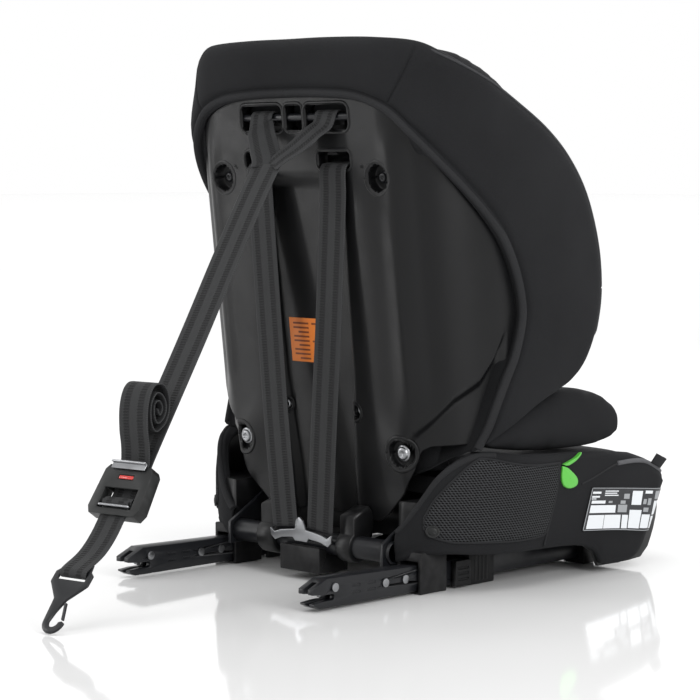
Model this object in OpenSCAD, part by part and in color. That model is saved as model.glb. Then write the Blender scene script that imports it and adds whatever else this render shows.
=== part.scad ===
// Convertible child car seat with telescopic ISOFIX arms and a top tether.
// Millimetres. +Z up, the seated child faces -Y, the backrest's rear faces +Y.
// Left is the seated child's left, +X. The origin is at the bottom centre.

/* [Base] */
// Half of the width of the base tub
base_half_w = 200; // [190:1:205]
// Distance from the origin to the front of the base tub
base_front = 255.6; // [250:0.1:262]
// Height of the deck's top face above the ground
deck_z = 94; // [88:1:98]
// Thickness of the moulded walls
wall = 4; // [3:0.5:5]
// Thickness of the fabric cover round the base
cover_t = 4; // [3:0.5:5]

/* [Backrest] */
// Rearward lean of the backrest from the vertical
lean = 6.75; // [4:0.25:9]
// Distance of the cross tube behind the origin
hinge_y = 110; // [105:1:112]
// Height of the cross tube's axis
hinge_z = 40; // [39:0.5:42]
// Diameter of the cross tube
tube_d = 24; // [20:1:24]
// Height of the moulded shell along the lean
shell_h = 500; // [480:5:505]

/* [Harness] */
// Width of the harness webbing
web_w = 38; // [30:1:40]
// Thickness of the webbing
web_t = 1.6; // [1.2:0.1:1.8]
// Height of the harness slots along the lean
slot_w = 407; // [400:1:412]

/* [ISOFIX] */
// Distance between the two arms' middle planes
isofix_pitch = 280; // [278:1:282]
// Distance of the arm tips behind the origin
arm_tip = 260; // [255:1:262]
// Radius of the seat for the anchor bar
anchor_r = 3.1; // [3.05:0.05:3.2]

/* [Top tether] */
// Width of the tether webbing
tether_w = 38; // [30:1:38]
// Turn of the tether about the vertical
tether_turn = 7; // [4:1:10]

/* [Hidden] */
$fn = 48;
slack = 0.4;
big = 700;

// ---------- shared outlines ----------

// Points of an ellipse's arc about c, from angle a0 to a1 in n steps
function arc(c, rx, ry, a0, a1, n) =
    [for (i = [0 : n]) let (a = a0 + (a1 - a0) * i / n) [c.x + rx * cos(a), c.y + ry * sin(a)]];

// A right half outline closed by its own mirror image
function both_sides(half) =
    concat(half, [for (i = [len(half) - 1 : -1 : 0]) [-half[i].x, half[i].y]]);

// Base plan: rear arms, rounded rear and front corners
arm_in = 124;
arm_front = 45;
corner_r = 34;
rear_ry = 118;
function base_half(t) = concat(
    [[0, arm_front + t], [arm_in - t, arm_front + t], [arm_in - t, hinge_y - 2 + t]],
    arc([arm_in, hinge_y - 2 - rear_ry], base_half_w - arm_in + t, rear_ry + t, 84, 0, 12),
    arc([base_half_w - corner_r, corner_r - base_front], corner_r + t, corner_r + t, 0, -90, 10),
    [[0, -base_front - t]]);

// Base wall only, without the rear arms' inner faces
function base_skin_half(t) = concat(
    arc([arm_in, hinge_y - 2 - rear_ry], base_half_w - arm_in + t, rear_ry + t, 90, 0, 12),
    arc([base_half_w - corner_r, corner_r - base_front], corner_r + t, corner_r + t, 0, -90, 10));

// The front slopes back towards the ground: how far at each height
front_slope = [[97, 0], [84, 4.7], [59, 18.4], [35, 30.7], [19, 39.4], [4, 58], [-1, 60]];
function tub_profile(t) = concat(
    [[130, -1], [130, 160], [-base_front - t, 160]],
    [for (f = front_slope) [-base_front - t + f.y, f.x]]);

// Side profile of the base cover as (y, z)
skirt_z = 46;
foot_y = -100;
cover_profile = concat(
    [[114, skirt_z], [112, 57], [104, 90], [90, 125], [58, 149], [0, 139], [-90, 133],
     [-199, 124], [-236, 117], [-256, 109], [-262, 100], [-262, 4], [-140, 4], [-128, 10]],
    arc([foot_y - 18, skirt_z - 18], 18, 18, -40, 60, 4), [[foot_y, skirt_z]]);

// Backrest shell plan in the leaned frame: channel, rear flats, elliptical flanks
flat_v = -24;
channel_v = -34;
flat_x = 118;
flank_rx = 77;
flank_ry = 90;
shell_front_v = -150;
function shell_half(t) = concat(
    [[0, channel_v + t], [56 - 0.4 * t, channel_v + t], [66 - 0.4 * t, flat_v + t]],
    arc([flat_x, flat_v - flank_ry], flank_rx + t, flank_ry + t, 90, 0, 16),
    [[flat_x + flank_rx + t, shell_front_v]]);

// The same plan without the channel, for the covers around it
function flank_half(t, front) = concat(
    [[0, flat_v + t]],
    arc([flat_x, flat_v - flank_ry], flank_rx + t, flank_ry + t, 90, 0, 16),
    [[flat_x + flank_rx + t, front]]);

// ---------- frames and helpers ----------

module back_frame() {
    translate([0, hinge_y, hinge_z]) rotate([-lean, 0, 0]) children();
}

module mirror_x(side) {
    if (side > 0) children();
    else mirror([1, 0, 0]) children();
}

// A (y, z) outline extruded along X from x0 to x1
module along_x(points, x0, x1) {
    translate([x0, 0, 0]) rotate([90, 0, 90]) linear_extrude(x1 - x0) polygon(points);
}

// A cylinder along X, centred on x
module rod_x(d, x0, x1) {
    translate([x0, 0, 0]) rotate([0, 90, 0]) cylinder(d = d, h = x1 - x0);
}

// A plan outline extruded from z0 to z1
module slab(points, z0, z1) {
    translate([0, 0, z0]) linear_extrude(z1 - z0) polygon(points);
}

// A block between two corners
module block(a, b) {
    translate(a) cube(b - a);
}

// Flat webbing swept along a route, with its width along the direction w (one, or one per point)
function unit(a) = a / norm(a);
function heading(r, i) =
    unit(i == 0 ? r[1] - r[0] :
         i == len(r) - 1 ? r[i] - r[i - 1] :
         unit(r[i + 1] - r[i]) + unit(r[i] - r[i - 1]));
function across(r, i, w) =
    let (t = heading(r, i), wide = is_list(w[0]) ? w[i] : w) unit(wide - t * (wide * t));
function web_ring(r, i, w, width, t) =
    let (a = across(r, i, w), n = cross(heading(r, i), a))
    [for (p = [[0.5, 0.2], [0.5 - 0.02, 0.5], [-0.5 + 0.02, 0.5], [-0.5, 0.2],
               [-0.5, -0.2], [-0.5 + 0.02, -0.5], [0.5 - 0.02, -0.5], [0.5, -0.2]])
        r[i] + a * (p.x * width) + n * (p.y * t)];
module webbing(r, w, width, t) {
    k = 8;
    n = len(r);
    points = [for (i = [0 : n - 1]) each web_ring(r, i, w, width, t)];
    sides = [for (i = [0 : n - 2]) for (j = [0 : k - 1])
        let (a = i * k + j, b = i * k + (j + 1) % k)
        each [[a, b, b + k], [a, b + k, a + k]]];
    first = [for (j = [k - 1 : -1 : 0]) j];
    last = [for (j = [0 : k - 1]) (n - 1) * k + j];
    polyhedron(points, concat(sides, [first, last]));
}

// ---------- base ----------

// A plan outline between two heights, with the sloping front of offset t
module tub(plan, t, z0, z1) {
    intersection() {
        slab(both_sides(plan), z0, z1);
        along_x(tub_profile(t), -220, 220);
    }
}

module base_shell() {
    floor_z = deck_z - wall;
    open_z = skirt_z - 2;
    pillar = 14;
    color("#1c1d1e") difference() {
        union() {
            difference() {
                tub(base_half(0), 0, open_z, deck_z);
                tub(base_half(-wall), -wall, open_z - 1, floor_z);
            }
            difference() {
                intersection() {
                    tub(base_skin_half(0), 0, 0, 140);
                    along_x([[112, open_z], [102, 84], [86, 118], [56, 140], [0, 131], [-90, 126],
                             [-199, 117], [-236, 110], [-252, 104], [-258, 98], [-258, 12],
                             [-180, 7], [-128, 7], [-118, 24], [-102, 33], [-102, open_z]], -210, 210);
                }
                tub(base_skin_half(-wall), -wall, -1, 150);
                block([-arm_in - wall, 60, -1], [arm_in + wall, 130, 150]);
            }
            for (s = [-1, 1])
                block([s * isofix_pitch / 2 - pillar, -178, 0],
                      [s * isofix_pitch / 2 + pillar, -160, deck_z - 1]);
        }
        block([-22, -232, 60], [22, -212, 100]);
    }
}

module base_cover() {
    t0 = slack;
    t1 = slack + cover_t;
    color("#2b2c2e") difference() {
        intersection() {
            tub(base_skin_half(t1), t1, 9, 156);
            along_x(cover_profile, -220, 220);
        }
        tub(base_skin_half(t0), t0, 0, 158);
        block([-arm_in - 0.5, 60, -1], [arm_in + 0.5, 130, 170]);
    }
}

module mesh_panel(side) {
    profile = [[51, 143], [27, 132], [-5, 127], [-58, 126], [-58, 102], [-33, 53], [39, 49],
               [81, 51], [96, 58], [101, 70], [101, 80], [81, 114], [64, 128]];
    color("#1a1b1c") mirror_x(side) intersection() {
        difference() {
            slab(both_sides(base_skin_half(6)), 40, 150);
            slab(both_sides(base_skin_half(slack + cover_t + 0.1)), 30, 160);
        }
        along_x(profile, 100, 220);
    }
}
module mesh_panel_left() mesh_panel(1);
module mesh_panel_right() mesh_panel(-1);

module cover_snaps() {
    turn = 60;
    grow = 6.1;
    at = arc([arm_in, hinge_y - 2 - rear_ry], base_half_w - arm_in + grow, rear_ry + grow, turn, turn, 1)[0];
    facing = atan2(sin(turn) * (base_half_w - arm_in), cos(turn) * rear_ry);
    color("#222324") for (s = [-1, 1]) mirror_x(s) translate([at.x, at.y, 75])
        rotate([90, 0, facing + 90]) cylinder(d = 12, h = 3);
}

// A pointed leaf, length by width, its flat side facing X
module leaf(y, z, length, width, turn) {
    r = (length * length / 4 + width * width / 4) / width;
    sweep = asin(length / 2 / r);
    half = [for (i = [0 : 8]) let (a = sweep * (1 - i / 4)) [r * sin(a), r * cos(a) - r + width / 2]];
    translate([0, y, z]) rotate([turn, 0, 0])
        along_x(concat(half, [for (i = [7 : -1 : 1]) [half[i].x, -half[i].y]]), 0, 3.4);
}
module belt_guide(side) {
    color("#52b848") mirror_x(side) translate([base_half_w + slack + cover_t + 0.2, 0, 0]) {
        leaf(-84, 125.5, 34, 9, -14);
        leaf(-80, 111, 34, 15, 38);
    }
}
module belt_guide_left() belt_guide(1);
module belt_guide_right() belt_guide(-1);

module side_label() {
    x = base_half_w + slack + cover_t;
    color("#3a3d40") along_x([[-93, 50], [-107, 95.5], [-218, 85.5], [-218, 41]], -x - 0.7, -x - 0.2);
}

module seat_cushion() {
    inset = -wall - 1;
    profile = [[34, deck_z + 0.5], [34, 131], [-90, 131], [-199, 122], [-234, 114],
               [-248, 104], [-248, deck_z + 0.5]];
    color("#2d2e30") difference() {
        intersection() {
            slab(both_sides(base_skin_half(inset)), deck_z, 140);
            along_x(profile, -195, 195);
        }
        block([-21, -96, 90], [21, -66, 140]);
        block([-27, -260, 90], [27, -203, 140]);
    }
}

module cross_tube() {
    bore = tube_d - 4;
    color("#202122") translate([0, hinge_y, hinge_z]) difference() {
        rod_x(tube_d, -122, 122);
        rod_x(bore, -124, 124);
    }
}

module tube_brackets() {
    color("#191a1b") for (s = [-1, 1]) mirror_x(s) difference() {
        union() {
            along_x([[45.2, 50], [45.2, 88], [60, 88], [126, 50], [126, 26], [94, 26]], 114, 118);
            block([96, 45.2, 56], [118, 48, 88]);
        }
        translate([0, hinge_y, hinge_z]) rod_x(tube_d + 0.3, 100, 130);
    }
}

module isofix_guide(side) {
    color("#161718") mirror_x(side) translate([isofix_pitch / 2, 0, 0]) difference() {
        block([-17, 70, 0], [17, 110, 43.5]);
        block([-12.4, 50, 2], [12.4, 120, 33]);
    }
}
module isofix_guide_left() isofix_guide(1);
module isofix_guide_right() isofix_guide(-1);

rail_w = 12;
module guide_rail(side) {
    color("#2b2d30") mirror_x(side) translate([isofix_pitch / 2, 0, 0])
        block([-rail_w / 2, -159.9, 6.6], [rail_w / 2, 88, 26.4]);
}
module guide_rail_left() guide_rail(1);
module guide_rail_right() guide_rail(-1);

module strap_guide() {
    half = 30;
    color("#151617") difference() {
        block([-half, 88, 9], [half, 131, 36]);
        translate([0, hinge_y, hinge_z]) rod_x(tube_d + slack, -50, 50);
        block([-21, 123.4, 13.5], [21, 128.4, 40]);
        block([-21, 80, 13.5], [21, 128.4, 18.8]);
    }
}

// Route of the strap from the yoke, round the guide and forward to the adjuster
adjuster_route = [[0, 126, 34], [0, 126, 22], [0, 125.2, 18], [0, 121, 15.8], [0, 110, 16],
                  [0, 40, 20], [0, -60, 40], [0, -160, 62], [0, -205, 76], [0, -219, 84],
                  [0, -222, 94]];
module adjuster_strap() {
    color("#3b3c3e") webbing(adjuster_route, [1, 0, 0], 32, web_t);
}

module adjuster_box() {
    color("#1b1c1d") difference() {
        block([-24, -247, deck_z + 0.4], [24, -206, 119]);
        block([-18, -240, 110], [18, -213, 130]);
        block([-18, -228, 90], [18, -216, 106]);
        block([-18, -260, 96], [18, -240, 103]);
    }
}

module adjuster_button() {
    color("#c8342a") block([-17.5, -239.5, 114.5], [17.5, -213.5, 121]);
}

// ---------- harness buckle ----------

module buckle_frame() {
    translate([0, -72, 126]) rotate([-25, 0, 0]) children();
}

module crotch_strap() {
    color("#3b3c3e") buckle_frame() block([-15, -0.8, -22], [15, 0.8, 33.5]);
}

module crotch_pad() {
    color("#2d2e30") buckle_frame() difference() {
        block([-27, -8, 12], [27, 9, 33]);
        block([-16, -1.4, 0], [16, 1.4, 40]);
    }
}

module buckle_body() {
    color("#1d1e1f") buckle_frame() difference() {
        hull() for (x = [-24, 24]) for (q = [40, 94])
            translate([x, -11, q]) rotate([-90, 0, 0]) cylinder(r = 6, h = 22, $fn = 32);
        block([-27, -2.4, 68], [27, 2.4, 110]);
        block([-14.6, -20, 43.6], [14.6, -1, 64.4]);
    }
}

module buckle_button() {
    color("#c8342a") buckle_frame() block([-14, -12.5, 44], [14, -6, 64]);
}

module buckle_tongues() {
    color("#b9bcc0") buckle_frame() for (s = [-1, 1]) mirror_x(s) difference() {
        block([2.5, -1.3, 74], [26, 1.3, 122]);
        block([5.5, -5, 108], [23, 5, 117]);
    }
}

// ---------- backrest ----------

// The region that the side covers hug, as (v, w) in the leaned frame
wing_profile = [[-76, 503], [-76, 454.5], [-47, 452], [-45, 392], [-102, 346], [-139, 290],
                [-148, 251], [-141, 215], [-118, 167], [-89, 134], [-73, 110], [-132, 126],
                [-197, 146], [-237, 160], [-263, 205], [-274, 262], [-270, 325], [-242, 386],
                [-202, 427], [-140, 474]];

module shell_wall(t0, t1, w0, w1) {
    difference() {
        slab(both_sides(shell_half(t1)), w0, w1);
        slab(both_sides(shell_half(t0)), w0 - 1, w1 + 1);
    }
}

module back_shell() {
    lug_in = 48;
    lug_out = 69;
    roof_v = -41.6;
    bolt_hole = 8.2;
    color("#1d1e1f") back_frame() difference() {
        union() {
            difference() {
                slab(both_sides(shell_half(0)), 24, shell_h);
                translate([0, -wall, 0]) slab(both_sides(shell_half(0)), 20, shell_h - wall);
                intersection() {
                    slab(both_sides(flank_half(-wall, shell_front_v - 5)), 20, shell_h - wall);
                    block([-big, -big, 0], [big, -62, big]);
                }
                block([-220, -160, shell_h - wall - 1], [220, roof_v, shell_h + 1]);
                along_x([[-75.8, 520], [-75.8, 495], [-160, 455], [-160, 520]], -220, 220);
            }
            for (s = [-1, 1]) mirror_x(s) {
                block([lug_in, flat_v - wall, 0], [lug_out, 16, 27]);
                translate([lug_in, 0, 0]) rotate([0, 90, 0]) cylinder(d = 33, h = lug_out - lug_in);
                block([82, -37, 444], [92, flat_v - 1, 460]);
                block([44, -44.5, 128], [68, channel_v - 1, 152]);
            }
        }
        rod_x(tube_d + 2 * slack, 40, 80);
        rod_x(tube_d + 2 * slack, -80, -40);
        translate([0, -30, 452]) rod_x(8.1, -90.2, 90.2);
        for (s = [-1, 1]) mirror_x(s) {
            block([112, -160, 0], [220, 0, 70]);
            block([145, -160, 0], [220, 0, 110]);
            translate([145, 0, 110]) rotate([0, -32, 0]) block([0, -160, -60], [120, 0, 0]);
            block([31, -70, slot_w - 9], [79, 0, slot_w + 9]);
            block([16, -70, 438], [81, 0, 466]);
            for (at = [[116, 388.4], [120, 101.8]]) translate([at.x, flat_v - 20, at[1]])
                rotate([-90, 0, 0]) cylinder(d = bolt_hole, h = 40);
            translate([56, -80, 140]) rotate([-90, 0, 0]) cylinder(d = bolt_hole, h = 80);
            translate([56, channel_v, 140]) rotate([-90, 0, 0]) cylinder(d = 17, h = 20);
        }
        block([-13, -70, 438], [13, 0, 466]);
    }
}

module tether_bar() {
    color("#26282a") back_frame() translate([0, -30, 452]) rod_x(8, -90, 90);
}

module bolt(head_d, shank_l) {
    rotate([-90, 0, 0]) {
        cylinder(d = head_d, h = 4);
        translate([0, 0, -shank_l]) cylinder(d = 8, h = shank_l + 1);
    }
}
module shell_bolts() {
    color("#c3c6c9") back_frame() for (s = [-1, 1]) mirror_x(s) {
        translate([120, flat_v + 0.1, 101.8]) bolt(15, 18);
        translate([56, channel_v + 0.1, 140]) bolt(15, 9);
    }
}
module shell_screws() {
    color("#111213") back_frame() for (s = [-1, 1]) mirror_x(s)
        translate([116, flat_v + 0.1, 388.4]) bolt(15, 16);
}

module hood() {
    top = 530;
    front = -41.6;
    arch_w = 474;
    color("#2b2c2e") back_frame() difference() {
        slab(both_sides(flank_half(14, -120)), 455, top);
        slab(both_sides(flank_half(0.6, -160)), 450, shell_h + 0.6);
        block([-160, -200, 440], [160, front, 540]);
        block([-big, -200, 440], [big, -75.4, 540]);
        block([-100, -30, 440], [100, 0, arch_w]);
    }
}

module wing(side) {
    color("#2b2c2e") back_frame() mirror_x(side) difference() {
        intersection() {
            slab(concat([[164, -285], [190, -285], [200, -255], [208, -215], [208, -114]],
                        arc([flat_x, -114], 90, 102, 0, 74, 8), [[164, -60]]), 100, 512);
            along_x(wing_profile, 100, 220);
        }
        slab(concat([[190, shell_front_v - 0.6]],
                    [[195.6, shell_front_v - 0.6]],
                    arc([flat_x, flat_v - flank_ry], flank_rx + 0.6, flank_ry + 0.6, 0, 90, 16),
                    arc([flat_x, flat_v - flank_ry], flank_rx - 8, flank_ry - 8, 90, 0, 16)),
             90, 520);
        block([150, -58, 90], [200, 20, 520]);
    }
}
module wing_left() wing(1);
module wing_right() wing(-1);

module hip_pad(side) {
    color("#2b2c2e") mirror_x(side) along_x(
        [[44, 150], [50, 156], [-6, 179], [-76, 204.5], [-104, 203], [-145, 194], [-171, 179],
         [-181, 162], [-176, 149], [-158, 141], [-118, 137], [-27, 141]], 152, 192);
}
module hip_pad_left() hip_pad(1);
module hip_pad_right() hip_pad(-1);

module back_pad() {
    half = concat([[0, -46]], [[118, -46], [150, -60], [150, -112], [136, -112], [112, -82], [0, -78]]);
    color("#2f3032") back_frame() difference() {
        slab(both_sides(half), 64, 419);
        for (s = [-1, 1]) mirror_x(s) block([31, -120, slot_w - 11], [77, 0, slot_w + 5]);
        block([-160, -120, 60], [160, -77, 84]);
    }
}

// Shoulder webbing as (x, v, w) in the leaned frame: yoke, channel, slot, pad slot
strap_rear = [[26, 14.5, 16], [30, 11, 60], [37, 4, 140], [46, -7, 250], [54, -17.5, 360],
              [55, -20, 392], [55, -23, 400.5], [55, -30, 403], [55, -60, 402], [55, -84, 400]];
strap_front = [[55, -91, 396], [54, -96, 386], [53, -100, 376], [36, -122, 280], [20.5, -148, 186]];
module harness_strap(side) {
    color("#3b3c3e") back_frame() mirror_x(side)
        webbing(concat(strap_rear, strap_front), [1, 0, 0], web_w, web_t);
}
module harness_strap_left() harness_strap(1);
module harness_strap_right() harness_strap(-1);

module shoulder_pads() {
    route = [[52, -102.5, 366], [46, -109.6, 332], [38, -119.8, 290], [31, -127.5, 255]];
    color("#2d2e30") back_frame() for (s = [-1, 1]) mirror_x(s)
        webbing(route, [1, 0, 0], 56, 12);
}

module yoke_plate() {
    half = [[0, 30], [5, 26], [8, 16], [30, 13], [40, 10], [46, 14], [46, 6], [40, 1], [30, 5], [12, 7],
            [9, 3], [0, 3]];
    color("#c3c6c9") back_frame() translate([0, 19, 0]) rotate([90, 0, 0])
        linear_extrude(3) polygon(both_sides(half));
}

module back_label() {
    color("#e07820") back_frame() block([-18, channel_v + 0.1, 188], [43, channel_v + 0.6, 236]);
}

// ---------- headrest ----------

module headrest_shell() {
    color("#1b1c1d") back_frame() union() {
        block([-104, -45.6, 426], [104, -42.4, 500]);
        block([-24, -45.6, 330], [24, -42.4, 427]);
    }
}

module headrest_pad() {
    side_profile = [[-46, 425], [-46, 518], [-72, 520], [-105, 516], [-139, 505], [-172, 487],
                    [-204, 464], [-230, 442], [-246, 420], [-240, 402], [-212, 390], [-160, 388],
                    [-118, 425]];
    middle = [[-46, 425], [-46, 518], [-66, 518], [-94, 512], [-94, 425]];
    color("#2f3032") back_frame() difference() {
        union() {
            for (s = [-1, 1]) mirror_x(s) along_x(side_profile, 112, 156);
            along_x(middle, -113, 113);
        }
        block([-36, -60, 494], [36, -40, 530]);
    }
}

module headrest_handle() {
    color("#1b1c1d") back_frame() difference() {
        block([-34, -58, 496], [34, -47, 508]);
        block([-27, -70, 499], [27, -51, 504]);
    }
}

// ---------- ISOFIX arms ----------

arm_z0 = 3;
arm_z1 = 30;
bar_y = arm_tip - 28;
bar_z = 13;
pivot_y = arm_tip - 31.2;
pivot_z = 22.5;
rivet_places = [[arm_tip - 104.1, 18], [arm_tip - 133.7, 18]];

module arm_frame(side) {
    mirror_x(side) translate([isofix_pitch / 2, 0, 0]) children();
}

module isofix_arm(side) {
    half = 10;
    color("#1e2022") arm_frame(side) difference() {
        along_x([[-5, arm_z0], [250, arm_z0], [arm_tip - 2, arm_z0 + 4], [arm_tip - 2, 10],
                 [arm_tip, 15], [arm_tip, 23], [arm_tip - 21, arm_z1 + 2], [90, arm_z1 - 1],
                 [-5, arm_z1 - 1]], -half, half);
        block([-7.6, -10, arm_z0 + 2.6], [7.6, bar_y - 20, arm_z1 - 2.4]);
        block([-3.2, bar_y - 26, arm_z0 + 2.6], [3.2, 270, arm_z1 - 1.6]);
        along_x([[bar_y, bar_z - anchor_r], [bar_y + 12, bar_z - anchor_r], [arm_tip + 10, 7.5],
                 [arm_tip + 10, 19], [bar_y + 12, bar_z + anchor_r], [bar_y, bar_z + anchor_r]], -20, 20);
        translate([0, bar_y, bar_z]) rod_x(2 * anchor_r, -20, 20);
        translate([0, pivot_y, pivot_z]) rod_x(5.2, -20, 20);
        for (p = rivet_places) translate([0, p.x, p.y]) rod_x(5.2, -20, 20);
        for (y = [170, 192]) for (z = [13, 20]) block([9.4, y, z], [11, y + 12, z + 2]);
        for (y = [170, 192]) for (z = [13, 20]) block([-11, y, z], [-9.4, y + 12, z + 2]);
    }
}
module isofix_arm_left() isofix_arm(1);
module isofix_arm_right() isofix_arm(-1);

module arm_rivets(side) {
    color("#c3c6c9") arm_frame(side) {
        translate([0, pivot_y, pivot_z]) union() {
            rod_x(5, -10.5, 10.5);
            rod_x(9, -11.6, -10.1);
            rod_x(9, 10.1, 11.6);
        }
        for (p = rivet_places) for (s = [-1, 1]) mirror_x(s) translate([0, p.x, p.y]) union() {
            rod_x(5, 7.8, 10.5);
            rod_x(9, 10.1, 11.6);
        }
    }
}
module arm_rivets_left() arm_rivets(1);
module arm_rivets_right() arm_rivets(-1);

module latch_hook(side) {
    color("#c9ccd0") arm_frame(side) translate([0, pivot_y, pivot_z]) difference() {
        along_x([[-5, 3], [3, 4], [8, 1], [13, -4], [13.5, -9], [9.5, -10.5], [8.4, -8.4],
                 [5.5, -5.8], [0, -4.8], [-5, -4]], -2.6, 2.6);
        rod_x(5.6, -4, 4);
    }
}
module latch_hook_left() latch_hook(1);
module latch_hook_right() latch_hook(-1);

module carriage(side) {
    color("#17181a") arm_frame(side) difference() {
        union() {
            block([-15, -7, 0.5], [15, 33, 34]);
            for (y = [4, 10, 16, 22]) block([-15.8, y, 4], [15.8, y + 2.4, 31]);
            block([-15, 33, 0.5], [-10.6, 58, 30]);
        }
        block([-10.1, -20, arm_z0 - 0.1], [10.1, 60, arm_z1 - 0.9]);
    }
}
module carriage_left() carriage(1);
module carriage_right() carriage(-1);

module release_button(side) {
    color("#141516") arm_frame(side) difference() {
        block([12.4, 34, 2], [18.4, 57, 29]);
        for (z = [8, 14, 20]) block([17.4, 37, z], [20, 54, z + 2]);
    }
}
module release_button_left() release_button(1);
module release_button_right() release_button(-1);

// ---------- top tether ----------

tether_dir = [cos(tether_turn), sin(tether_turn), 0];
// Routes in the part's frame: the V's leg round the bar, the free webbing from the V to the
// adjuster, its rolled tail, and the short webbing to the hook
leg_route = [[48, 127.6, 484], [48, 127.3, 490.2], [48, 127.8, 495.6], [48, 131.6, 498.6],
             [48, 136.5, 497.9], [48, 139.6, 494], [46, 143, 484], [38, 150, 475],
             [24, 160, 461], [10, 170, 449], [4, 177, 441]];
strap_route = [[-1, 178, 443], [-3, 205, 404], [-7, 245, 343], [-13, 290, 275],
               [-18, 335, 208], [-22, 366, 163], [-23, 378, 144], [-24, 386, 130]];
tail_route = [[-25, 385.1, 141.1], [-24, 380.4, 150], [-24, 380, 165], [-24, 382, 182],
              [-23, 381, 203], [-22, 376, 219], [-21, 368, 227], [-20, 357, 226], [-19, 350, 216],
              [-19, 349, 204], [-20, 353, 192], [-20, 360, 184], [-21, 368, 181]];
hook_route = [[-27, 412, 97], [-29, 425, 84], [-32, 443, 68], [-34, 459, 56]];
leg_x = leg_route[0].x;
leg_width = 32;
hook_web_w = 34;
// The far leg turns further towards the strap than the near one
function leg_twist(s) = s > 0 ? 0.6 : -0.2;

module tether_legs() {
    middle = -2;
    color("#3b3c3e") for (s = [-1, 1]) difference() {
        webbing([for (p = leg_route) [s * p.x + middle * (1 - p.x / leg_x), p.y, p.z]],
                [for (p = leg_route) [1, leg_twist(s) * (1 - p.x / leg_x), 0]], leg_width, web_t);
        if (s < 0) block([middle, 100, 380], [60, 260, 520]);
        if (s > 0) block([-60, 100, 380], [middle + 0.1, 260, 520]);
    }
}

module tether_strap() {
    color("#3b3c3e") webbing(strap_route, tether_dir, tether_w, web_t);
}
module tether_tail() {
    color("#3b3c3e") webbing(tail_route, tether_dir, tether_w, web_t);
}
module hook_strap() {
    color("#3b3c3e") webbing(hook_route, tether_dir, hook_web_w, 2 * web_t);
}

// The adjuster's frame: x along its width, y out of its face, z up along the webbing
module adjuster_frame() {
    translate([-25, 394, 123]) rotate([0, 0, tether_turn]) rotate([34, 0, 0]) children();
}

module tether_adjuster() {
    half = [[0, 25], [27, 25], [31, 20], [34, -22], [30, -29], [0, -29]];
    color("#3c3e3e") adjuster_frame() difference() {
        translate([0, 7, 0]) rotate([90, 0, 0]) linear_extrude(14) polygon(both_sides(half));
        block([-22, -20, -22], [22, 20, 0]);
        block([-10, 6, 9.5], [10, 9, 14.5]);
        block([-20.5, -5, -10], [20.5, 5, 30]);
    }
    color("#b9bcc0") adjuster_frame() translate([0, 0, -13]) rod_x(7, -23, 23);
}

module adjuster_lever() {
    color("#b9bcc0") adjuster_frame() union() {
        block([-22, 7.6, 20], [22, 9.6, 27.5]);
        block([-22, 7.6, 25.5], [22, 13, 27.5]);
    }
}

// The hook's frame: x across the plate, y out of its face, z up along the strap
module hook_frame() {
    translate([-35, 469.5, 47]) rotate([0, 0, tether_turn]) rotate([42, 0, 0]) children();
}

module tether_hook() {
    bend = [7, -48.5];
    outline = concat(
        [[-24, 6], [-19, 10], [19, 10], [24, 6], [24, -6], [8, -24], [3, -38]],
        arc(bend, 6, 6, 180, 360, 10), [[16.5, bend.y + 1.6]], arc(bend, 13, 13, 360, 180, 14),
        [[-8, -24], [-24, -6]]);
    color("#2c2e30") hook_frame() translate([0, 1.5, 0]) rotate([90, 0, 0]) linear_extrude(3)
    difference() {
        mirror([1, 0]) polygon(outline);
        translate([-18, -2]) square([36, 7]);
    }
}

module hook_gate() {
    color("#1a1b1c") hook_frame() translate([0, 1, 0]) rotate([90, 0, 0]) linear_extrude(2)
        mirror([1, 0]) polygon([[7.6, -27], [10.6, -27], [17.8, -45.6], [14.8, -45.6]]);
}

base_shell();
base_cover();
seat_cushion();
mesh_panel_left();
mesh_panel_right();
cover_snaps();
belt_guide_left();
belt_guide_right();
side_label();
cross_tube();
tube_brackets();
isofix_guide_left();
isofix_guide_right();
guide_rail_left();
guide_rail_right();
strap_guide();
buckle_body();
buckle_button();
buckle_tongues();
crotch_strap();
crotch_pad();
adjuster_box();
adjuster_button();
adjuster_strap();
back_shell();
hood();
wing_left();
wing_right();
hip_pad_left();
hip_pad_right();
back_pad();
tether_bar();
shell_bolts();
shell_screws();
harness_strap_left();
harness_strap_right();
shoulder_pads();
yoke_plate();
back_label();
headrest_shell();
headrest_pad();
headrest_handle();
isofix_arm_left();
arm_rivets_left();
carriage_left();
latch_hook_left();
release_button_left();
isofix_arm_right();
arm_rivets_right();
carriage_right();
latch_hook_right();
release_button_right();
tether_legs();
tether_strap();
tether_tail();
hook_strap();
tether_adjuster();
adjuster_lever();
tether_hook();
hook_gate();
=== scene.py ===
"""Looks of the convertible car seat: fabric, webbing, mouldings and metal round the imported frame."""

import math

import bpy
import numpy as np
from mathutils import Matrix, Vector


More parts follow.
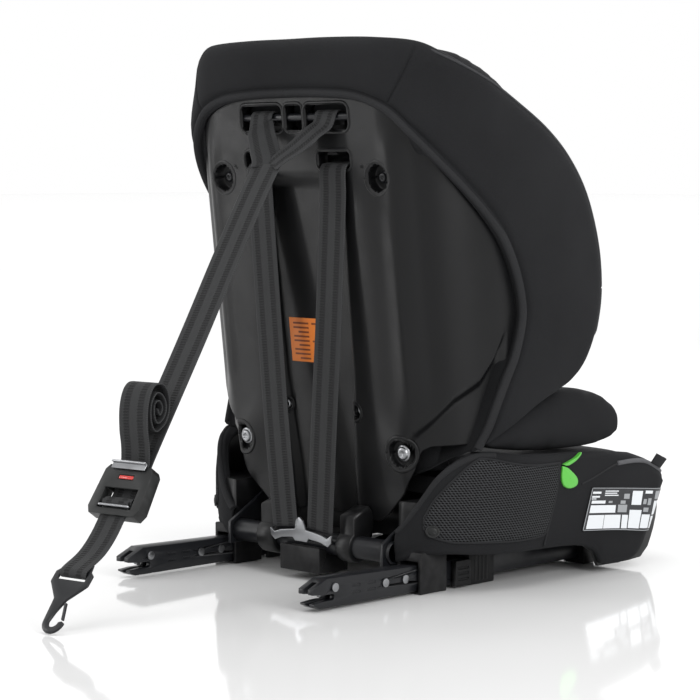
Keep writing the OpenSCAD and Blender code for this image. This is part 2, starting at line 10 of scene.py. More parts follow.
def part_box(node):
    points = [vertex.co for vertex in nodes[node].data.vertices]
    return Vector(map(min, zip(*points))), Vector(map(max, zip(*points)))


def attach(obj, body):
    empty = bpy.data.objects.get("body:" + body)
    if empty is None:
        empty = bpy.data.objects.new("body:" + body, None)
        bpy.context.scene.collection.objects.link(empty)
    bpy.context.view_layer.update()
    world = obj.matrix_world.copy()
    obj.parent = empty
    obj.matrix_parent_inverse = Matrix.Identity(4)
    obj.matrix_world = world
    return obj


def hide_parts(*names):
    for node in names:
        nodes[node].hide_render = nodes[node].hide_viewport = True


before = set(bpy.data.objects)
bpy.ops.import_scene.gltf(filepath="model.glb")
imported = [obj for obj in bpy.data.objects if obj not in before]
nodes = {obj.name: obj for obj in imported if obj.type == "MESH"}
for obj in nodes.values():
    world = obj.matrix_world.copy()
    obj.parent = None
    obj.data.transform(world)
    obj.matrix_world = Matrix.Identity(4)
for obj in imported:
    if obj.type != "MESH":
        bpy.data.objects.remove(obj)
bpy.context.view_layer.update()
scene = bpy.context.scene
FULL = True

# --- camera and lights

CAMERA_AT = (-1.8033, 1.8944, 0.4399)
CAMERA_YAW = math.radians(-45.585)
CAMERA_PITCH = math.radians(4.391)

camera = bpy.data.objects.new("camera", bpy.data.cameras.new("camera"))
scene.collection.objects.link(camera)
camera.data.sensor_width = 36
camera.data.lens = 122.4
camera.location = CAMERA_AT
forward = Vector((math.cos(CAMERA_YAW) * math.cos(CAMERA_PITCH),
                  math.sin(CAMERA_YAW) * math.cos(CAMERA_PITCH), -math.sin(CAMERA_PITCH)))
camera.rotation_euler = forward.to_track_quat("-Z", "Y").to_euler()
scene.camera = camera
scene.view_settings.view_transform = "Standard"


def softbox(name, at, aim, size, watts):
    """A rectangular area light at one point, turned towards another."""
    light = bpy.data.lights.new(name, "AREA")
    light.shape, light.size, light.size_y = "RECTANGLE", size[0], size[1]
    light.energy = watts
    lamp = bpy.data.objects.new(name, light)
    lamp.location = at
    lamp.rotation_euler = (Vector(aim) - Vector(at)).to_track_quat("-Z", "Y").to_euler()
    scene.collection.objects.link(lamp)


softbox("key", (0.5, 2.6, 1.9), (0, 0.1, 0.3), (0.5, 1.6), 13)
softbox("fill", (-2.6, 0.5, 1.3), (0, 0, 0.25), (1.2, 1.4), 46)
softbox("strip", (1.7, 1.5, 0.7), (0.1, 0.1, 0.3), (0.25, 1.6), 12)
softbox("front", (0.6, -2.4, 1.6), (0, -0.1, 0.3), (1.6, 1.6), 22)
softbox("top", (0, 0, 2.6), (0, 0, 0), (1.6, 1.6), 16)

# --- node materials


class Shader:
    """A procedural material: small helpers to add and link nodes."""

    def __init__(self, name, rough=0.5, metal=0.0):
        self.mat = bpy.data.materials.new(name)
        self.mat.use_nodes = True
        self.nt = self.mat.node_tree
        self.bsdf = next(n for n in self.nt.nodes if n.type == "BSDF_PRINCIPLED")
        self.bsdf.inputs["Roughness"].default_value = rough
        self.bsdf.inputs["Metallic"].default_value = metal

    def put(self, socket, value):
        if isinstance(value, bpy.types.NodeSocket):
            self.nt.links.new(value, socket)
        elif hasattr(socket, "default_value"):
            socket.default_value = value

    def node(self, kind, out=0, sets=(), **inputs):
        n = self.nt.nodes.new(kind)
        for key, value in dict(sets).items():
            setattr(n, key, value)
        for key, value in inputs.items():
            self.put(n.inputs[int(key[1:]) if key[0] == "i" and key[1:].isdigit() else key], value)
        return n.outputs[out]

    def math(self, op, a, b=0.0, c=0.0):
        return self.node("ShaderNodeMath", sets={"operation": op}, i0=a, i1=b, i2=c)

    def mul(self, a, b):
        return self.math("MULTIPLY", a, b)

    def add(self, a, b):
        return self.math("ADD", a, b)

    def ramp(self, value, *stops):
        n = self.nt.nodes.new("ShaderNodeValToRGB")
        self.put(n.inputs[0], value)
        ramp = n.color_ramp
        while len(ramp.elements) < len(stops):
            ramp.elements.new(0.5)
        for e, (at, grey) in zip(ramp.elements, stops):
            e.position = at
            e.color = (grey, grey, grey, 1) if isinstance(grey, (int, float)) else (*grey, 1)
        return n.outputs[0]

    def mix(self, fac, a, b):
        n = self.nt.nodes.new("ShaderNodeMix")
        n.data_type = "RGBA"
        self.put(n.inputs[0], fac)
        self.put(n.inputs[6], (*a, 1) if isinstance(a, tuple) else a)
        self.put(n.inputs[7], (*b, 1) if isinstance(b, tuple) else b)
        return n.outputs[2]

    def noise(self, scale, detail=2.0, coords=None, rough=0.5):
        return self.node("ShaderNodeTexNoise", Vector=coords or self.coords(), Scale=scale,
                         Detail=detail, Roughness=rough)

    def coords(self, kind="Object"):
        n = self.nt.nodes.new("ShaderNodeTexCoord")
        return n.outputs[kind]

    def axes(self, coords):
        n = self.nt.nodes.new("ShaderNodeSeparateXYZ")
        self.nt.links.new(coords, n.inputs[0])
        return n.outputs

    def sine(self, value, pitch):
        """A wave from 0 to 1 with that pitch in metres."""
        return self.math("MULTIPLY_ADD", self.math("SINE", self.mul(value, math.tau / pitch)), 0.5, 0.5)

    def colour(self, value):
        self.put(self.bsdf.inputs["Base Color"], (*value, 1) if isinstance(value, tuple) else value)

    def set(self, **inputs):
        for key, value in inputs.items():
            self.put(self.bsdf.inputs[key.replace("_", " ")], value)

    def bump(self, height, distance, strength=1.0):
        old = self.bsdf.inputs["Normal"]
        chain = {"Normal": old.links[0].from_socket} if old.is_linked else {}
        self.put(old, self.node("ShaderNodeBump", Height=height, Distance=distance, Strength=strength,
                                **chain))

    def edge_wear(self, base, worn, low=0.52, high=0.62):
        """Colour that turns towards worn along sharp edges, broken up by grime."""
        geometry = self.nt.nodes.new("ShaderNodeNewGeometry")
        edge = self.ramp(geometry.outputs["Pointiness"], (low, 0.0), (high, 1.0))
        broken = self.mul(edge, self.ramp(self.noise(90, 4), (0.35, 0.0), (0.7, 1.0)))
        self.colour(self.mix(broken, base, worn))


def fabric(name, dark, light, weave=0.0011):
    """Plain-woven melange cloth: crossing yarns, lighter fibres and slow shading."""
    s = Shader(name, 0.85)
    x, y, z = s.axes(s.coords())
    warp = s.sine(s.add(s.mul(x, 0.8), y), weave)
    weft = s.sine(s.add(z, s.mul(x, 0.35)), weave)
    yarn = s.mul(warp, weft)
    fibres = s.ramp(s.noise(2100, 3, rough=0.7), (0.38, 0.0), (0.68, 1.0))
    slow = s.ramp(s.noise(7, 3), (0.3, 0.0), (0.75, 1.0))
    tone = s.add(s.mul(fibres, 0.55), s.mul(slow, 0.28))
    s.colour(s.mix(s.add(tone, s.mul(yarn, 0.2)), dark, light))
    s.bump(s.add(s.mul(yarn, 0.6), s.mul(fibres, 0.5)), 0.00025, 0.7)
    s.bump(s.noise(26, 3), 0.0012, 0.35)
    s.set(Sheen_Weight=0.02, Sheen_Roughness=0.55, Specular_IOR_Level=0.08)
    s.put(s.bsdf.inputs["Sheen Tint"], (0.75, 0.76, 0.8, 1))
    return s.mat


def spacer_mesh(name):
    """3-D spacer mesh: slanted rows of open eyelets, laid out in the panel's own plane (UV in metres)."""
    s = Shader(name, 0.8)
    uv = s.axes(s.coords("UV"))
    row = s.mul(uv[1], 400.0)
    column = s.add(s.mul(uv[0], 290.0), s.mul(row, 0.5))
    cells = s.node("ShaderNodeCombineXYZ", X=column, Y=row)
    hole = s.node("ShaderNodeTexVoronoi", out="Distance",
                  sets={"voronoi_dimensions": "2D"}, Vector=cells, Scale=1.0, Randomness=0.08)
    yarn_vs_shaded_eyelet = s.ramp(hole, (0.26, 0.0), (0.44, 1.0))
    # The eyelets are coloured near-black: painted shade inside the open holes
    s.colour(s.mix(yarn_vs_shaded_eyelet, (0.001, 0.001, 0.001), (0.034, 0.035, 0.037)))
    s.bump(yarn_vs_shaded_eyelet, 0.0011, 1.0)
    s.bump(s.noise(1800, 2), 0.0002, 0.4)
    s.set(Specular_IOR_Level=0.12)
    return s.mat


def webbing_material(name, base, band):
    """Ribbed polyester webbing: UV u runs across (0 to 1), v along the strap in metres."""
    s = Shader(name, 0.62)
    u, v, _ = s.axes(s.coords("UV"))
    fold = s.math("ABSOLUTE", s.math("SUBTRACT", u, 0.5))
    bands = s.ramp(s.math("ABSOLUTE", s.math("SUBTRACT", fold, 0.24)), (0.08, 1.0), (0.12, 0.0))
    edges = s.ramp(fold, (0.455, 0.0), (0.475, 1.0))
    ribs = s.sine(v, 0.0029)
    twill = s.sine(s.add(v, s.mul(u, 0.016)), 0.0013)
    height = s.add(s.mul(ribs, s.mul(bands, 0.9)), s.mul(twill, 0.35))
    # The ribbed bands are darker as the webbing's woven pattern; within them the rib grooves are painted
    # darker than the rib tops, as painted shade
    shade = s.mul(bands, s.math("MULTIPLY_ADD", ribs, -0.45, 0.95))
    colour = s.mix(shade, base, band)
    dotted = s.mul(edges, s.ramp(s.sine(v, 0.0022), (0.45, 0.0), (0.6, 1.0)))
    colour = s.mix(s.mul(dotted, 0.5), colour, tuple(min(1, c * 2.2) for c in base))
    grime = s.ramp(s.noise(60, 3), (0.3, 0.82), (0.7, 1.0))
    s.colour(s.mix(grime, tuple(c * 0.7 for c in base), colour))
    s.bump(height, 0.0005, 0.9)
    s.set(Sheen_Weight=0.02, Specular_IOR_Level=0.14)
    return s.mat


def moulded(name, base, rough=0.42, grain=1500, wear=0.35, spec=0.5, coat=0.0):
    """Injection-moulded plastic with fine spark grain, soft scuffs and lighter worn edges."""
    s = Shader(name, rough)
    scuff = s.ramp(s.noise(38, 5, rough=0.7), (0.42, 0.0), (0.72, 1.0))
    s.edge_wear(base, tuple(min(1, c + 0.06 * wear + c * wear) for c in base))
    s.put(s.bsdf.inputs["Roughness"], s.math("MULTIPLY_ADD", scuff, 0.10, rough))
    s.bump(s.noise(grain, 2), 0.00008, 0.6)
    s.set(Specular_IOR_Level=spec, Coat_Weight=coat)
    return s.mat


def steel(name, base, rough, metal=1.0, brushed=False, wear=(0.4, 0.4, 0.4), spec=0.5):
    """Plated or coated steel with faint streaks and bright rubbed edges."""
    s = Shader(name, rough, metal)
    s.set(Specular_IOR_Level=spec)
    x, y, z = s.axes(s.coords())
    stretched = s.node("ShaderNodeCombineXYZ", X=x, Y=s.mul(y, 0.06 if brushed else 1.0), Z=z)
    streak = s.noise(1400, 2, coords=stretched)
    s.edge_wear(base, wear, 0.54, 0.68)
    s.put(s.bsdf.inputs["Roughness"], s.math("MULTIPLY_ADD", streak, 0.18, rough - 0.06))
    s.bump(streak, 0.00004, 0.5)
    return s.mat


COVER = fabric("cover_fabric", (0.0055, 0.0056, 0.0061), (0.022, 0.0224, 0.024))
INNER = fabric("inner_fabric", (0.009, 0.009, 0.0096), (0.036, 0.0365, 0.0385), weave=0.0014)
# Binding: a lighter copy of the cover cloth, painted highlight along the rolled hems, seams and edges it is
# used for
HIGHLIGHT_BINDING = fabric("binding_fabric_painted_highlight", (0.010, 0.010, 0.0106), (0.034, 0.0345, 0.0365), weave=0.0008)
WELT = fabric("welt_fabric", (0.024, 0.0245, 0.026), (0.07, 0.071, 0.074), weave=0.0008)
# Piping: grey piping, its light grey partly a painted highlight along the front roll's top
PIPING_AND_HIGHLIGHT = fabric("piping_fabric_and_highlight", (0.05, 0.051, 0.054), (0.13, 0.13, 0.137), weave=0.0009)
MESH = spacer_mesh("spacer_mesh")
WEBBING = webbing_material("webbing", (0.026, 0.0265, 0.0275), (0.0065, 0.0065, 0.007))
SHELL = moulded("shell_plastic", (0.0045, 0.0046, 0.005), rough=0.33, grain=1100, wear=0.2, spec=0.2)
DARK = moulded("dark_plastic", (0.005, 0.005, 0.0055), rough=0.42, wear=0.3, spec=0.18)
GREY = moulded("adjuster_plastic", (0.0085, 0.009, 0.009), rough=0.42, wear=0.5, spec=0.25)
RED = moulded("button_red", (0.50, 0.022, 0.016), rough=0.25, wear=0.1, coat=0.3)
GREEN = moulded("green_plastic", (0.082, 0.40, 0.045), rough=0.35, wear=0.15)
PAPER = moulded("label_paper", (0.030, 0.031, 0.034), rough=0.4, grain=600, wear=0.1, spec=0.2)
PRINT = moulded("label_print", (0.62, 0.64, 0.66), rough=0.45, grain=700, wear=0.05)
PRINT_DIM = moulded("label_print_dim", (0.26, 0.27, 0.28), rough=0.45, grain=700, wear=0.05)
ORANGE = moulded("label_orange", (0.74, 0.20, 0.025), rough=0.45, grain=600, wear=0.05)
ORANGE_INK = moulded("label_ink", (0.20, 0.045, 0.008), rough=0.5, grain=600, wear=0.05)
BLACK_STEEL = steel("black_steel", (0.007, 0.0075, 0.009), 0.3, metal=0.0, wear=(0.05, 0.05, 0.055), spec=0.3)
ZINC = steel("zinc_steel", (0.27, 0.275, 0.285), 0.28, brushed=True, wear=(0.8, 0.81, 0.83))

# --- mesh helpers


def unit(v):
    """The rows of v at length 1."""
    return v / np.linalg.norm(v, axis=1)[:, None]


def run_of(p):
    """How far along the polyline each of its points lies."""
    return np.concatenate([[0], np.cumsum(np.linalg.norm(np.diff(p, axis=0), axis=1))])


def pairs(a, b):
    """Two arrays, spread to one shape, as (a, b) pairs."""
    return np.stack(np.broadcast_arrays(a, b), -1)


def catmull(a, b, c, d, t):
    """The Catmull-Rom curve from b to c."""
    return 0.5 * (2 * b + (c - a) * t + (2 * a - 5 * b + 4 * c - d) * t ** 2
                  + (3 * b - 3 * c + d - a) * t ** 3)


def with_ends(p):
    """The points with one more at either end, straight on."""
    return np.vstack([2 * p[0] - p[1], p, 2 * p[-1] - p[-2]])


def spline(points, n):
    """n points evenly spaced along a Catmull-Rom curve through the given points."""
    p = np.asarray(points, float)
    q = with_ends(p)
    fine = [catmull(*q[i:i + 4], t) for i in range(len(p) - 1) for t in np.linspace(0, 1, 24, endpoint=False)]
    fine = np.array(fine + [p[-1]])
    s = run_of(fine)
    at = np.linspace(0, s[-1], n)
    return np.stack([np.interp(at, s, fine[:, k]) for k in range(p.shape[1])], 1)


def smooth_faces(obj):
    obj.data.polygons.foreach_set("use_smooth", [True] * len(obj.data.polygons))


def new_mesh(name, verts, faces, material, uvs=None, smooth=True):
    """A linked mesh object with one material and, when given, one UV pair a vertex."""
    mesh = bpy.data.meshes.new(name)
    mesh.from_pydata([tuple(v) for v in verts], [], faces)
    mesh.update()
    if uvs is not None:
        layer = mesh.uv_layers.new(name="UVMap")
        corner = np.zeros(len(mesh.loops), np.int32)
        mesh.loops.foreach_get("vertex_index", corner)
        layer.data.foreach_set("uv", np.asarray(uvs, np.float32)[corner].ravel())
    obj = bpy.data.objects.new(name, mesh)
    scene.collection.objects.link(obj)
    mesh.materials.append(material)
    if smooth:
        smooth_faces(obj)
    return obj


def grid(name, p, material, uvs=None, wrap=False, keep=None, caps=False):
    """A mesh from an n by m array of points; wrap closes it along the second index."""
    n, m = p.shape[:2]
    faces = []
    for i in range(n - 1):
        for j in range(m if wrap else m - 1):
            if keep is None or keep[i, j]:
                k = (j + 1) % m
                faces.append((i * m + j, i * m + k, (i + 1) * m + k, (i + 1) * m + j))
    if caps:
        faces.append(tuple(range(m - 1, -1, -1)))
        faces.append(tuple((n - 1) * m + j for j in range(m)))
    return new_mesh(name, p.reshape(-1, 3), faces, material,
                    None if uvs is None else uvs.reshape(-1, 2))


def dress(obj, body, slot, *replaced):
    """Every piece rides a body and may stand in for CAD nodes; slot is not used."""
    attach(obj, body)
    if replaced:
        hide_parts(*replaced)
    return obj


def thicken(obj, thickness, offset=-1.0):
    """Give a sheet its thickness."""
    solid = obj.modifiers.new("wall", "SOLIDIFY")
    solid.thickness, solid.offset = thickness, offset


def frames_along(path, wide):
    """Tangent, width and normal directions at each point of a path."""
    t = unit(np.gradient(path, axis=0))
    w = np.asarray(wide, float)
    w = np.broadcast_to(w, path.shape) if w.ndim == 1 else w
    a = unit(w - t * np.sum(w * t, 1)[:, None])
    return t, a, np.cross(t, a)


def around_path(path, a, up, across, high):
    """The same section, across and high, set up at each point of a path."""
    return path[:, None] + a[:, None] * across[None, :, None] + up[:, None] * high[None, :, None]


def ribbon(name, route, wide, width, thick, body, *replaced, n=90, material=WEBBING, slot="webbing",
           crown=0.0):
    """Flat webbing along a route (metres): rounded edges, UV across and along.
    wide is the direction of its width, or a list of them from one end to the other."""
    path = spline(route, n)
    wide = np.asarray(wide, float)
    if wide.ndim == 2:
        at = np.linspace(0, 1, len(wide))
        wide = np.stack([np.interp(np.linspace(0, 1, n), at, wide[:, k]) for k in range(3)], 1)
    _, a, up = frames_along(path, wide)
    length = run_of(path)
    us = np.array([0.5, 0.485, 0.45, 0.3, 0.15, 0, -0.15, -0.3, -0.45, -0.485, -0.5])
    half = thick / 2 * np.array([0.3, 0.85, 1, 1, 1, 1, 1, 1, 1, 0.85, 0.3])
    bulge = crown * (1 - (2 * us) ** 2)
    ring_u = np.concatenate([us, us[::-1]])
    ring_h = np.concatenate([half + bulge, (-half + bulge)[::-1]])
    p = around_path(path, a, up, ring_u * width, ring_h)
    uv = pairs((ring_u + 0.5)[None, :], length[:, None])
    return dress(grid(name, p, material, uv, wrap=True, caps=True), body, slot, *replaced)


def tube(name, route, radius, body, material, slot, n=80, k=10, flat=1.0, wide=(0, 0, 1)):
    """A round or flattened tube along a route in metres."""
    path = spline(route, n)
    _, a, up = frames_along(path, wide)
    ang = np.linspace(0, math.tau, k, endpoint=False)
    p = around_path(path, a, up, radius * np.cos(ang), radius * flat * np.sin(ang))
    return dress(grid(name, p, material, wrap=True, caps=True), body, slot)


def smooth_step(x, a, b):
    """0 before a, 1 after b, with an S between them."""
    t = np.clip((np.asarray(x, float) - a) / (b - a), 0, 1)
    return t * t * (3 - 2 * t)


def bell(x, centre, spread):
    """A bump of height 1 at the centre."""
    return np.exp(-((np.asarray(x, float) - centre) / spread) ** 2)


# --- the backrest's own surface

# The back leans from the cross tube's axis at y 110, z 40 mm. Its plan is flat to FLAT_X at v FLAT_V, then
# an elliptic quarter of RX by RY, then straight forwards.
LEAN = math.radians(6.75)
CL, SL = math.cos(LEAN), math.sin(LEAN)
TUBE_Y, TUBE_Z = 110, 40
FLAT_X, FLAT_V, RX, RY = 118.0, -24.0, 77.0, 90.0
_angles = np.linspace(math.pi / 2, 0, 400)
_arc = np.stack([FLAT_X + RX * np.cos(_angles), FLAT_V - RY + RY * np.sin(_angles)], 1)
_arc_s = FLAT_X + run_of(_arc)
ARC_END = _arc_s[-1]


def lean(x, v, w):
    """A point of the leaned back's frame, in mm, as metres in the row frame."""
    x, v, w = np.broadcast_arrays(*[np.asarray(k, float) for k in (x, v, w)])
    return np.stack([x, TUBE_Y + v * CL + w * SL, TUBE_Z - v * SL + w * CL], -1) / 1000


def around(s, w, off):
    """s mm round the shell's plan from the middle, w up the lean, off outwards from the shell."""
    s, w, off = np.broadcast_arrays(*[np.asarray(k, float) for k in (s, w, off)])
    side, a = np.where(s < 0, -1.0, 1.0), np.abs(s)
    ang = np.interp(a, _arc_s, _angles)
    nx, nv = np.cos(ang) / RX, np.sin(ang) / RY
    size = np.hypot(nx, nv)
    nx, nv = nx / size, nv / size
    x = np.where(a < FLAT_X, a, np.where(a > ARC_END, FLAT_X + RX, FLAT_X + RX * np.cos(ang)))
    v = np.where(a < FLAT_X, FLAT_V,
                 np.where(a > ARC_END, FLAT_V - RY - (a - ARC_END), FLAT_V - RY + RY * np.sin(ang)))
    return lean(side * (x + nx * off), v + nv * off, w)


def follow(xs, ys):
    """A polyline as a function."""
    return lambda v: np.interp(v, xs, ys)


# Outline and creases of the shell: the strap channel's edge over w, the rest over s
channel_edge = follow([20, 77, 175, 281, 366], [43, 45, 54, 57, 61])
shell_bottom = follow([0, 78, 89, 117, 133, 136, 142, 153, 195, 222, 242, 262, 285],
                      [26, 24, 30, 56, 84, 95, 103, 107.5, 106, 112, 135, 143, 152])
crease = follow([118, 131, 157, 182, 212, 232, 250], [112, 121, 139.5, 160, 175, 196, 224])
shell_top = follow([0, 185, 212, 245, 281, 290], [498, 498, 484, 462, 436, 428])


def relief(s, w):
    """How far the shell's outer face stands out from its plain plan."""
    a = np.abs(s)
    edge = channel_edge(w)
    d = -10 * (1 - smooth_step(a, edge - 5, edge + 5)) * (1 - smooth_step(w, 376, 396))
    upright = smooth_step(w, 120, 190) * (1 - smooth_step(w, 405, 450))
    d = d + upright * (2.6 * bell(a, 134, 10) - 3.4 * bell(a, 160, 11))
    below = smooth_step(crease(a) - w, 0, 11) * smooth_step(a, 119, 136) * (1 - smooth_step(a, 236, 252))
    d = d - 7 * below + 5 * bell(a, 116, 30) * bell(w, 100, 34) * smooth_step(w, 40, 80)
    d = d + 2.0 * bell(a, 88, 26) * smooth_step(w, 60, 160) * (1 - smooth_step(w, 330, 400))
    return d


# Holes in the shell: (s, w, radius, depth)
HOLES = [(115.6, 388.4, 14.5, 12.0), (119.0, 100.5, 15.0, 9.0), (56.0, 140.0, 8.0, 7.0)]
# Slots: (s0, s1, w0, w1, corner radius)
SLOTS = [(31, 79, 398, 417, 7), (17, 80, 438, 466, 8)]


def snapped(values, *wanted):
    """The values with the nearest one moved onto each wanted value."""
    values = np.array(values, float)
    for x in wanted:
        values[np.argmin(np.abs(values - x))] = x
    return values


def shell_piece():
    """The moulded bucket as one sheet with its holes and slots left open, given a wall."""
    stops = [s for s0, s1, *_ in SLOTS for s in (s0 + 1, s1 - 1)]
    s = snapped(np.arange(-284, 284.1, 2.0), *stops, *[-k for k in stops], 12, -12)
    w_share = np.linspace(0, 1, 236)
    low = shell_bottom(np.abs(s))
    high = shell_top(np.abs(s))
    w = low[None, :] + (high - low)[None, :] * w_share[:, None]
    for w_line in (399, 416, 439, 465):
        row = np.argmin(np.abs(24 + 474 * w_share - w_line))
        w[row] = np.where(np.abs(s) < 100, w_line, w[row])
    ss = np.broadcast_to(s, w.shape)
    p = around(ss, w, relief(ss, w))
    cs, cw = (ss[:-1, :-1] + ss[1:, 1:]) / 2, (w[:-1, :-1] + w[1:, 1:]) / 2
    keep = np.ones(cs.shape, bool)
    for hs, hw, r, _ in HOLES:
        keep &= np.hypot(np.abs(cs) - hs, cw - hw) > r
    for s0, s1, w0, w1, _ in SLOTS:
        keep &= ~((np.abs(cs) > s0 + 1) & (np.abs(cs) < s1 - 1) & (cw > w0 + 1) & (cw < w1 - 1))
    keep &= ~((np.abs(cs) < 12) & (cw > 439) & (cw < 465))
    shell = grid("shell_moulding", p, SHELL, keep=keep)
    thicken(shell, 0.003, 1.0)
    return shell


def rim(path, profile):
    """A rolled rim round a ring of (s, w) points on the shell, closed; profile is (outward, height)."""
    path = np.asarray(path, float)
    t = unit(np.roll(path, -1, 0) - np.roll(path, 1, 0))
    n = np.stack([t[:, 1], -t[:, 0]], 1)
    prof = np.asarray(profile, float)
    q = path[:, None] + n[:, None] * prof[None, :, :1]
    base = relief(path[:, 0], path[:, 1])
    p = around(q[..., 0], q[..., 1], base[:, None] + prof[None, :, 1])
    return np.concatenate([p, p[:1]], 0)


def rounded_box(s0, s1, w0, w1, r):
    """A rectangle's outline with rounded corners."""
    out = []
    corners = ((s1 - r, w0 + r, -90), (s1 - r, w1 - r, 0), (s0 + r, w1 - r, 90), (s0 + r, w0 + r, 180))
    for cs, cw, a0 in corners:
        out += [(cs + r * math.cos(math.radians(a)), cw + r * math.sin(math.radians(a)))
                for a in np.linspace(a0, a0 + 90, 6)]
    return out


def join(name, parts):
    """All the parts in the first one."""
    bpy.ops.object.select_all(action="DESELECT")
    for o in parts:
        o.select_set(True)
    bpy.context.view_layer.objects.active = parts[0]
    bpy.ops.object.join()
    parts[0].name = name
    return parts[0]


# Rims of the holes as (outward, height), and the walls of the slots
ROLL = [(3.6, -0.3), (3.0, 0.5), (2.0, 1.0), (1.0, 1.0), (0.2, 0.5), (-0.2, -0.5), (-0.3, -2)]
SOFT_ROLL = [(5.2, -0.3), (4.2, 0.4), (3.0, 0.6), (1.8, 0.2), (0.9, -0.9), (0.2, -2.6), (-0.4, -5)]
SLOT_RIM = ROLL + [(-0.3, -9), (0.6, -16)]

shell = shell_piece()
parts = [shell]
for sign in (-1, 1):
    for hs, hw, r, depth in HOLES:
        ring = [(sign * hs + r * math.cos(a), hw + r * math.sin(a))
                for a in np.linspace(0, math.tau, 40, endpoint=False)]
        bottom = [(-0.8, -depth + 0.6)] + [(-r * k, -depth) for k in (0.12, 0.5, 0.8, 0.999)]
        parts.append(grid("cup", rim(ring, (SOFT_ROLL if r > 10 else ROLL) + bottom), SHELL))
    for s0, s1, w0, w1, r in SLOTS:
        box = [(sign * a, b) for a, b in rounded_box(s0, s1, w0, w1, r)][::sign]
        parts.append(grid("slot", rim(box, SLOT_RIM), SHELL))
parts.append(grid("slot", rim(rounded_box(-13, 13, 438, 466, 6), SLOT_RIM), SHELL))
for o in parts[1:]:
    o.data.flip_normals()
# The bearing lugs that turn on the cross tube
LUG_IN, LUG_OUT, LUG_R = 48, 69, 16.5
for sign in (-1, 1):
    ang = np.linspace(math.radians(-200), math.radians(65), 34)
    outline = [(LUG_R * math.cos(a), LUG_R * math.sin(a)) for a in ang]
    outline = np.array(outline + [(5, 34), (-20, 40), (-27, 30), (-22, 8)])
    across_x = np.array([LUG_IN, LUG_IN + 0.6, LUG_IN + 1.6, LUG_OUT - 1.6, LUG_OUT - 0.6, LUG_OUT])
    inset = np.array([0.9, 0.97, 1, 1, 0.97, 0.9])
    centre = outline.mean(0)
    pts = centre + (outline - centre)[None] * inset[:, None, None]
    lug = lean(sign * across_x[:, None], pts[..., 0], pts[..., 1])
    parts.append(grid("lug", lug, SHELL, wrap=True, caps=True))
dress(join("shell_moulding", parts), "backrest", "shell_plastic", "back_shell")


def screw(name, s, w, sink, radius, material, slot, replaced):
    """A pan-head screw with a washer face and a star recess, square to the shell."""
    k, prof = 36, [(1.0, 0), (1.0, 1.0), (0.93, 1.5), (0.80, 1.6), (0.76, 1.9), (0.72, 3.2), (0.62, 3.9),
                   (0.46, 4.1), (0.34, 4.1), (0.30, 2.4), (0.01, 2.3)]
    ang = np.linspace(0, math.tau, k, endpoint=False)
    rows = []
    for i, (r, h) in enumerate(prof):
        star = 1 + 0.16 * np.cos(6 * ang) if i >= 8 else np.ones(k)
        rr = radius * r * star
        rows.append(around(s + rr * np.cos(ang), w + rr * np.sin(ang), -sink + h))
    dress(grid(name, np.array(rows), material, wrap=True), "backrest", slot, replaced)


SIDES = (("left", 1), ("right", -1))
for tag, sign in SIDES:
    screw("shell_screw_" + tag, sign * 115.6, 388.4, 10.6, 6.5, BLACK_STEEL, "black_steel", "shell_screws")
    screw("bolt_low_" + tag, sign * 119, 100.5, 3.0, 9.0, ZINC, "zinc_steel", "shell_bolts")
    screw("bolt_mid_" + tag, sign * 56, 140, 12.5, 7.0, ZINC, "zinc_steel", "shell_bolts")

# --- hood and wings: one padded band

# The band's two edges from the middle of the hood down to the wing's lower end, (s, w); the seam between
# hood and wing lies at the fourth pair
SEAM_AT = 3
HEM = [(0, 474.5), (55, 473.5), (100, 469), (133, 455.5), (155, 433), (176, 407), (201, 375), (229, 338),
       (249, 307), (262, 274), (267, 242), (263, 220), (250, 192), (236, 172), (222, 148), (209, 122),
       (196, 101.4)]
OUTER = [(0, 534.5), (60, 534.5), (118, 532), (172, 524.5), (205, 509), (240, 487), (281, 459.5), (330, 424),
         (365, 388), (390, 345), (404, 290), (404, 240), (393, 202), (378, 177), (362, 162), (343, 153),
         (323, 147)]
# Cross-section in mm: (along from the hem or from the outer edge, out from the shell)
HEM_PART = [(1.5, 0.6), (-0.6, 2.6), (-1.0, 5.2), (0.4, 8.2), (3.0, 10.0), (6.0, 10.3), (8.6, 9.0),
            (9.8, 7.2), (11.0, 8.8), (13.6, 11.4), (17, 12.6)]
EDGE_PART = [(-19, 13.2), (-12.5, 12.4), (-7.5, 10.6), (-3.9, 7.6), (-1.3, 3.6), (0, -1),
             (-0.4, -6), (-2.2, -11), (-5.5, -15.6), (-10.5, -19.4), (-18, -22.6), (-30, -25)]
INSIDE = [(0.62, -27.5), (0.4, -28), (0.2, -27), (0.02, -24), (-0.15, -20), (-0.3, -16)]


def band_lines(n):
    """n places along the band, with the points of its two edges."""
    t = np.linspace(0, len(HEM) - 1, n)

    def curve(points):
        p = np.asarray(points, float)
        q = with_ends(p)
        q[0] = p[1] * (-1, 1)
        i = np.clip(t.astype(int), 0, len(p) - 2)
        return catmull(*[q[i + k] for k in range(4)], (t - i)[:, None])
    return t, curve(HEM), curve(OUTER)


def corner_fall(s, w):
    """How far the band's upper corners are rounded off towards the front."""
    return bell(s, 172, 60) * (12 * smooth_step(w, 430, 505) + 6 * smooth_step(w, 495, 530))


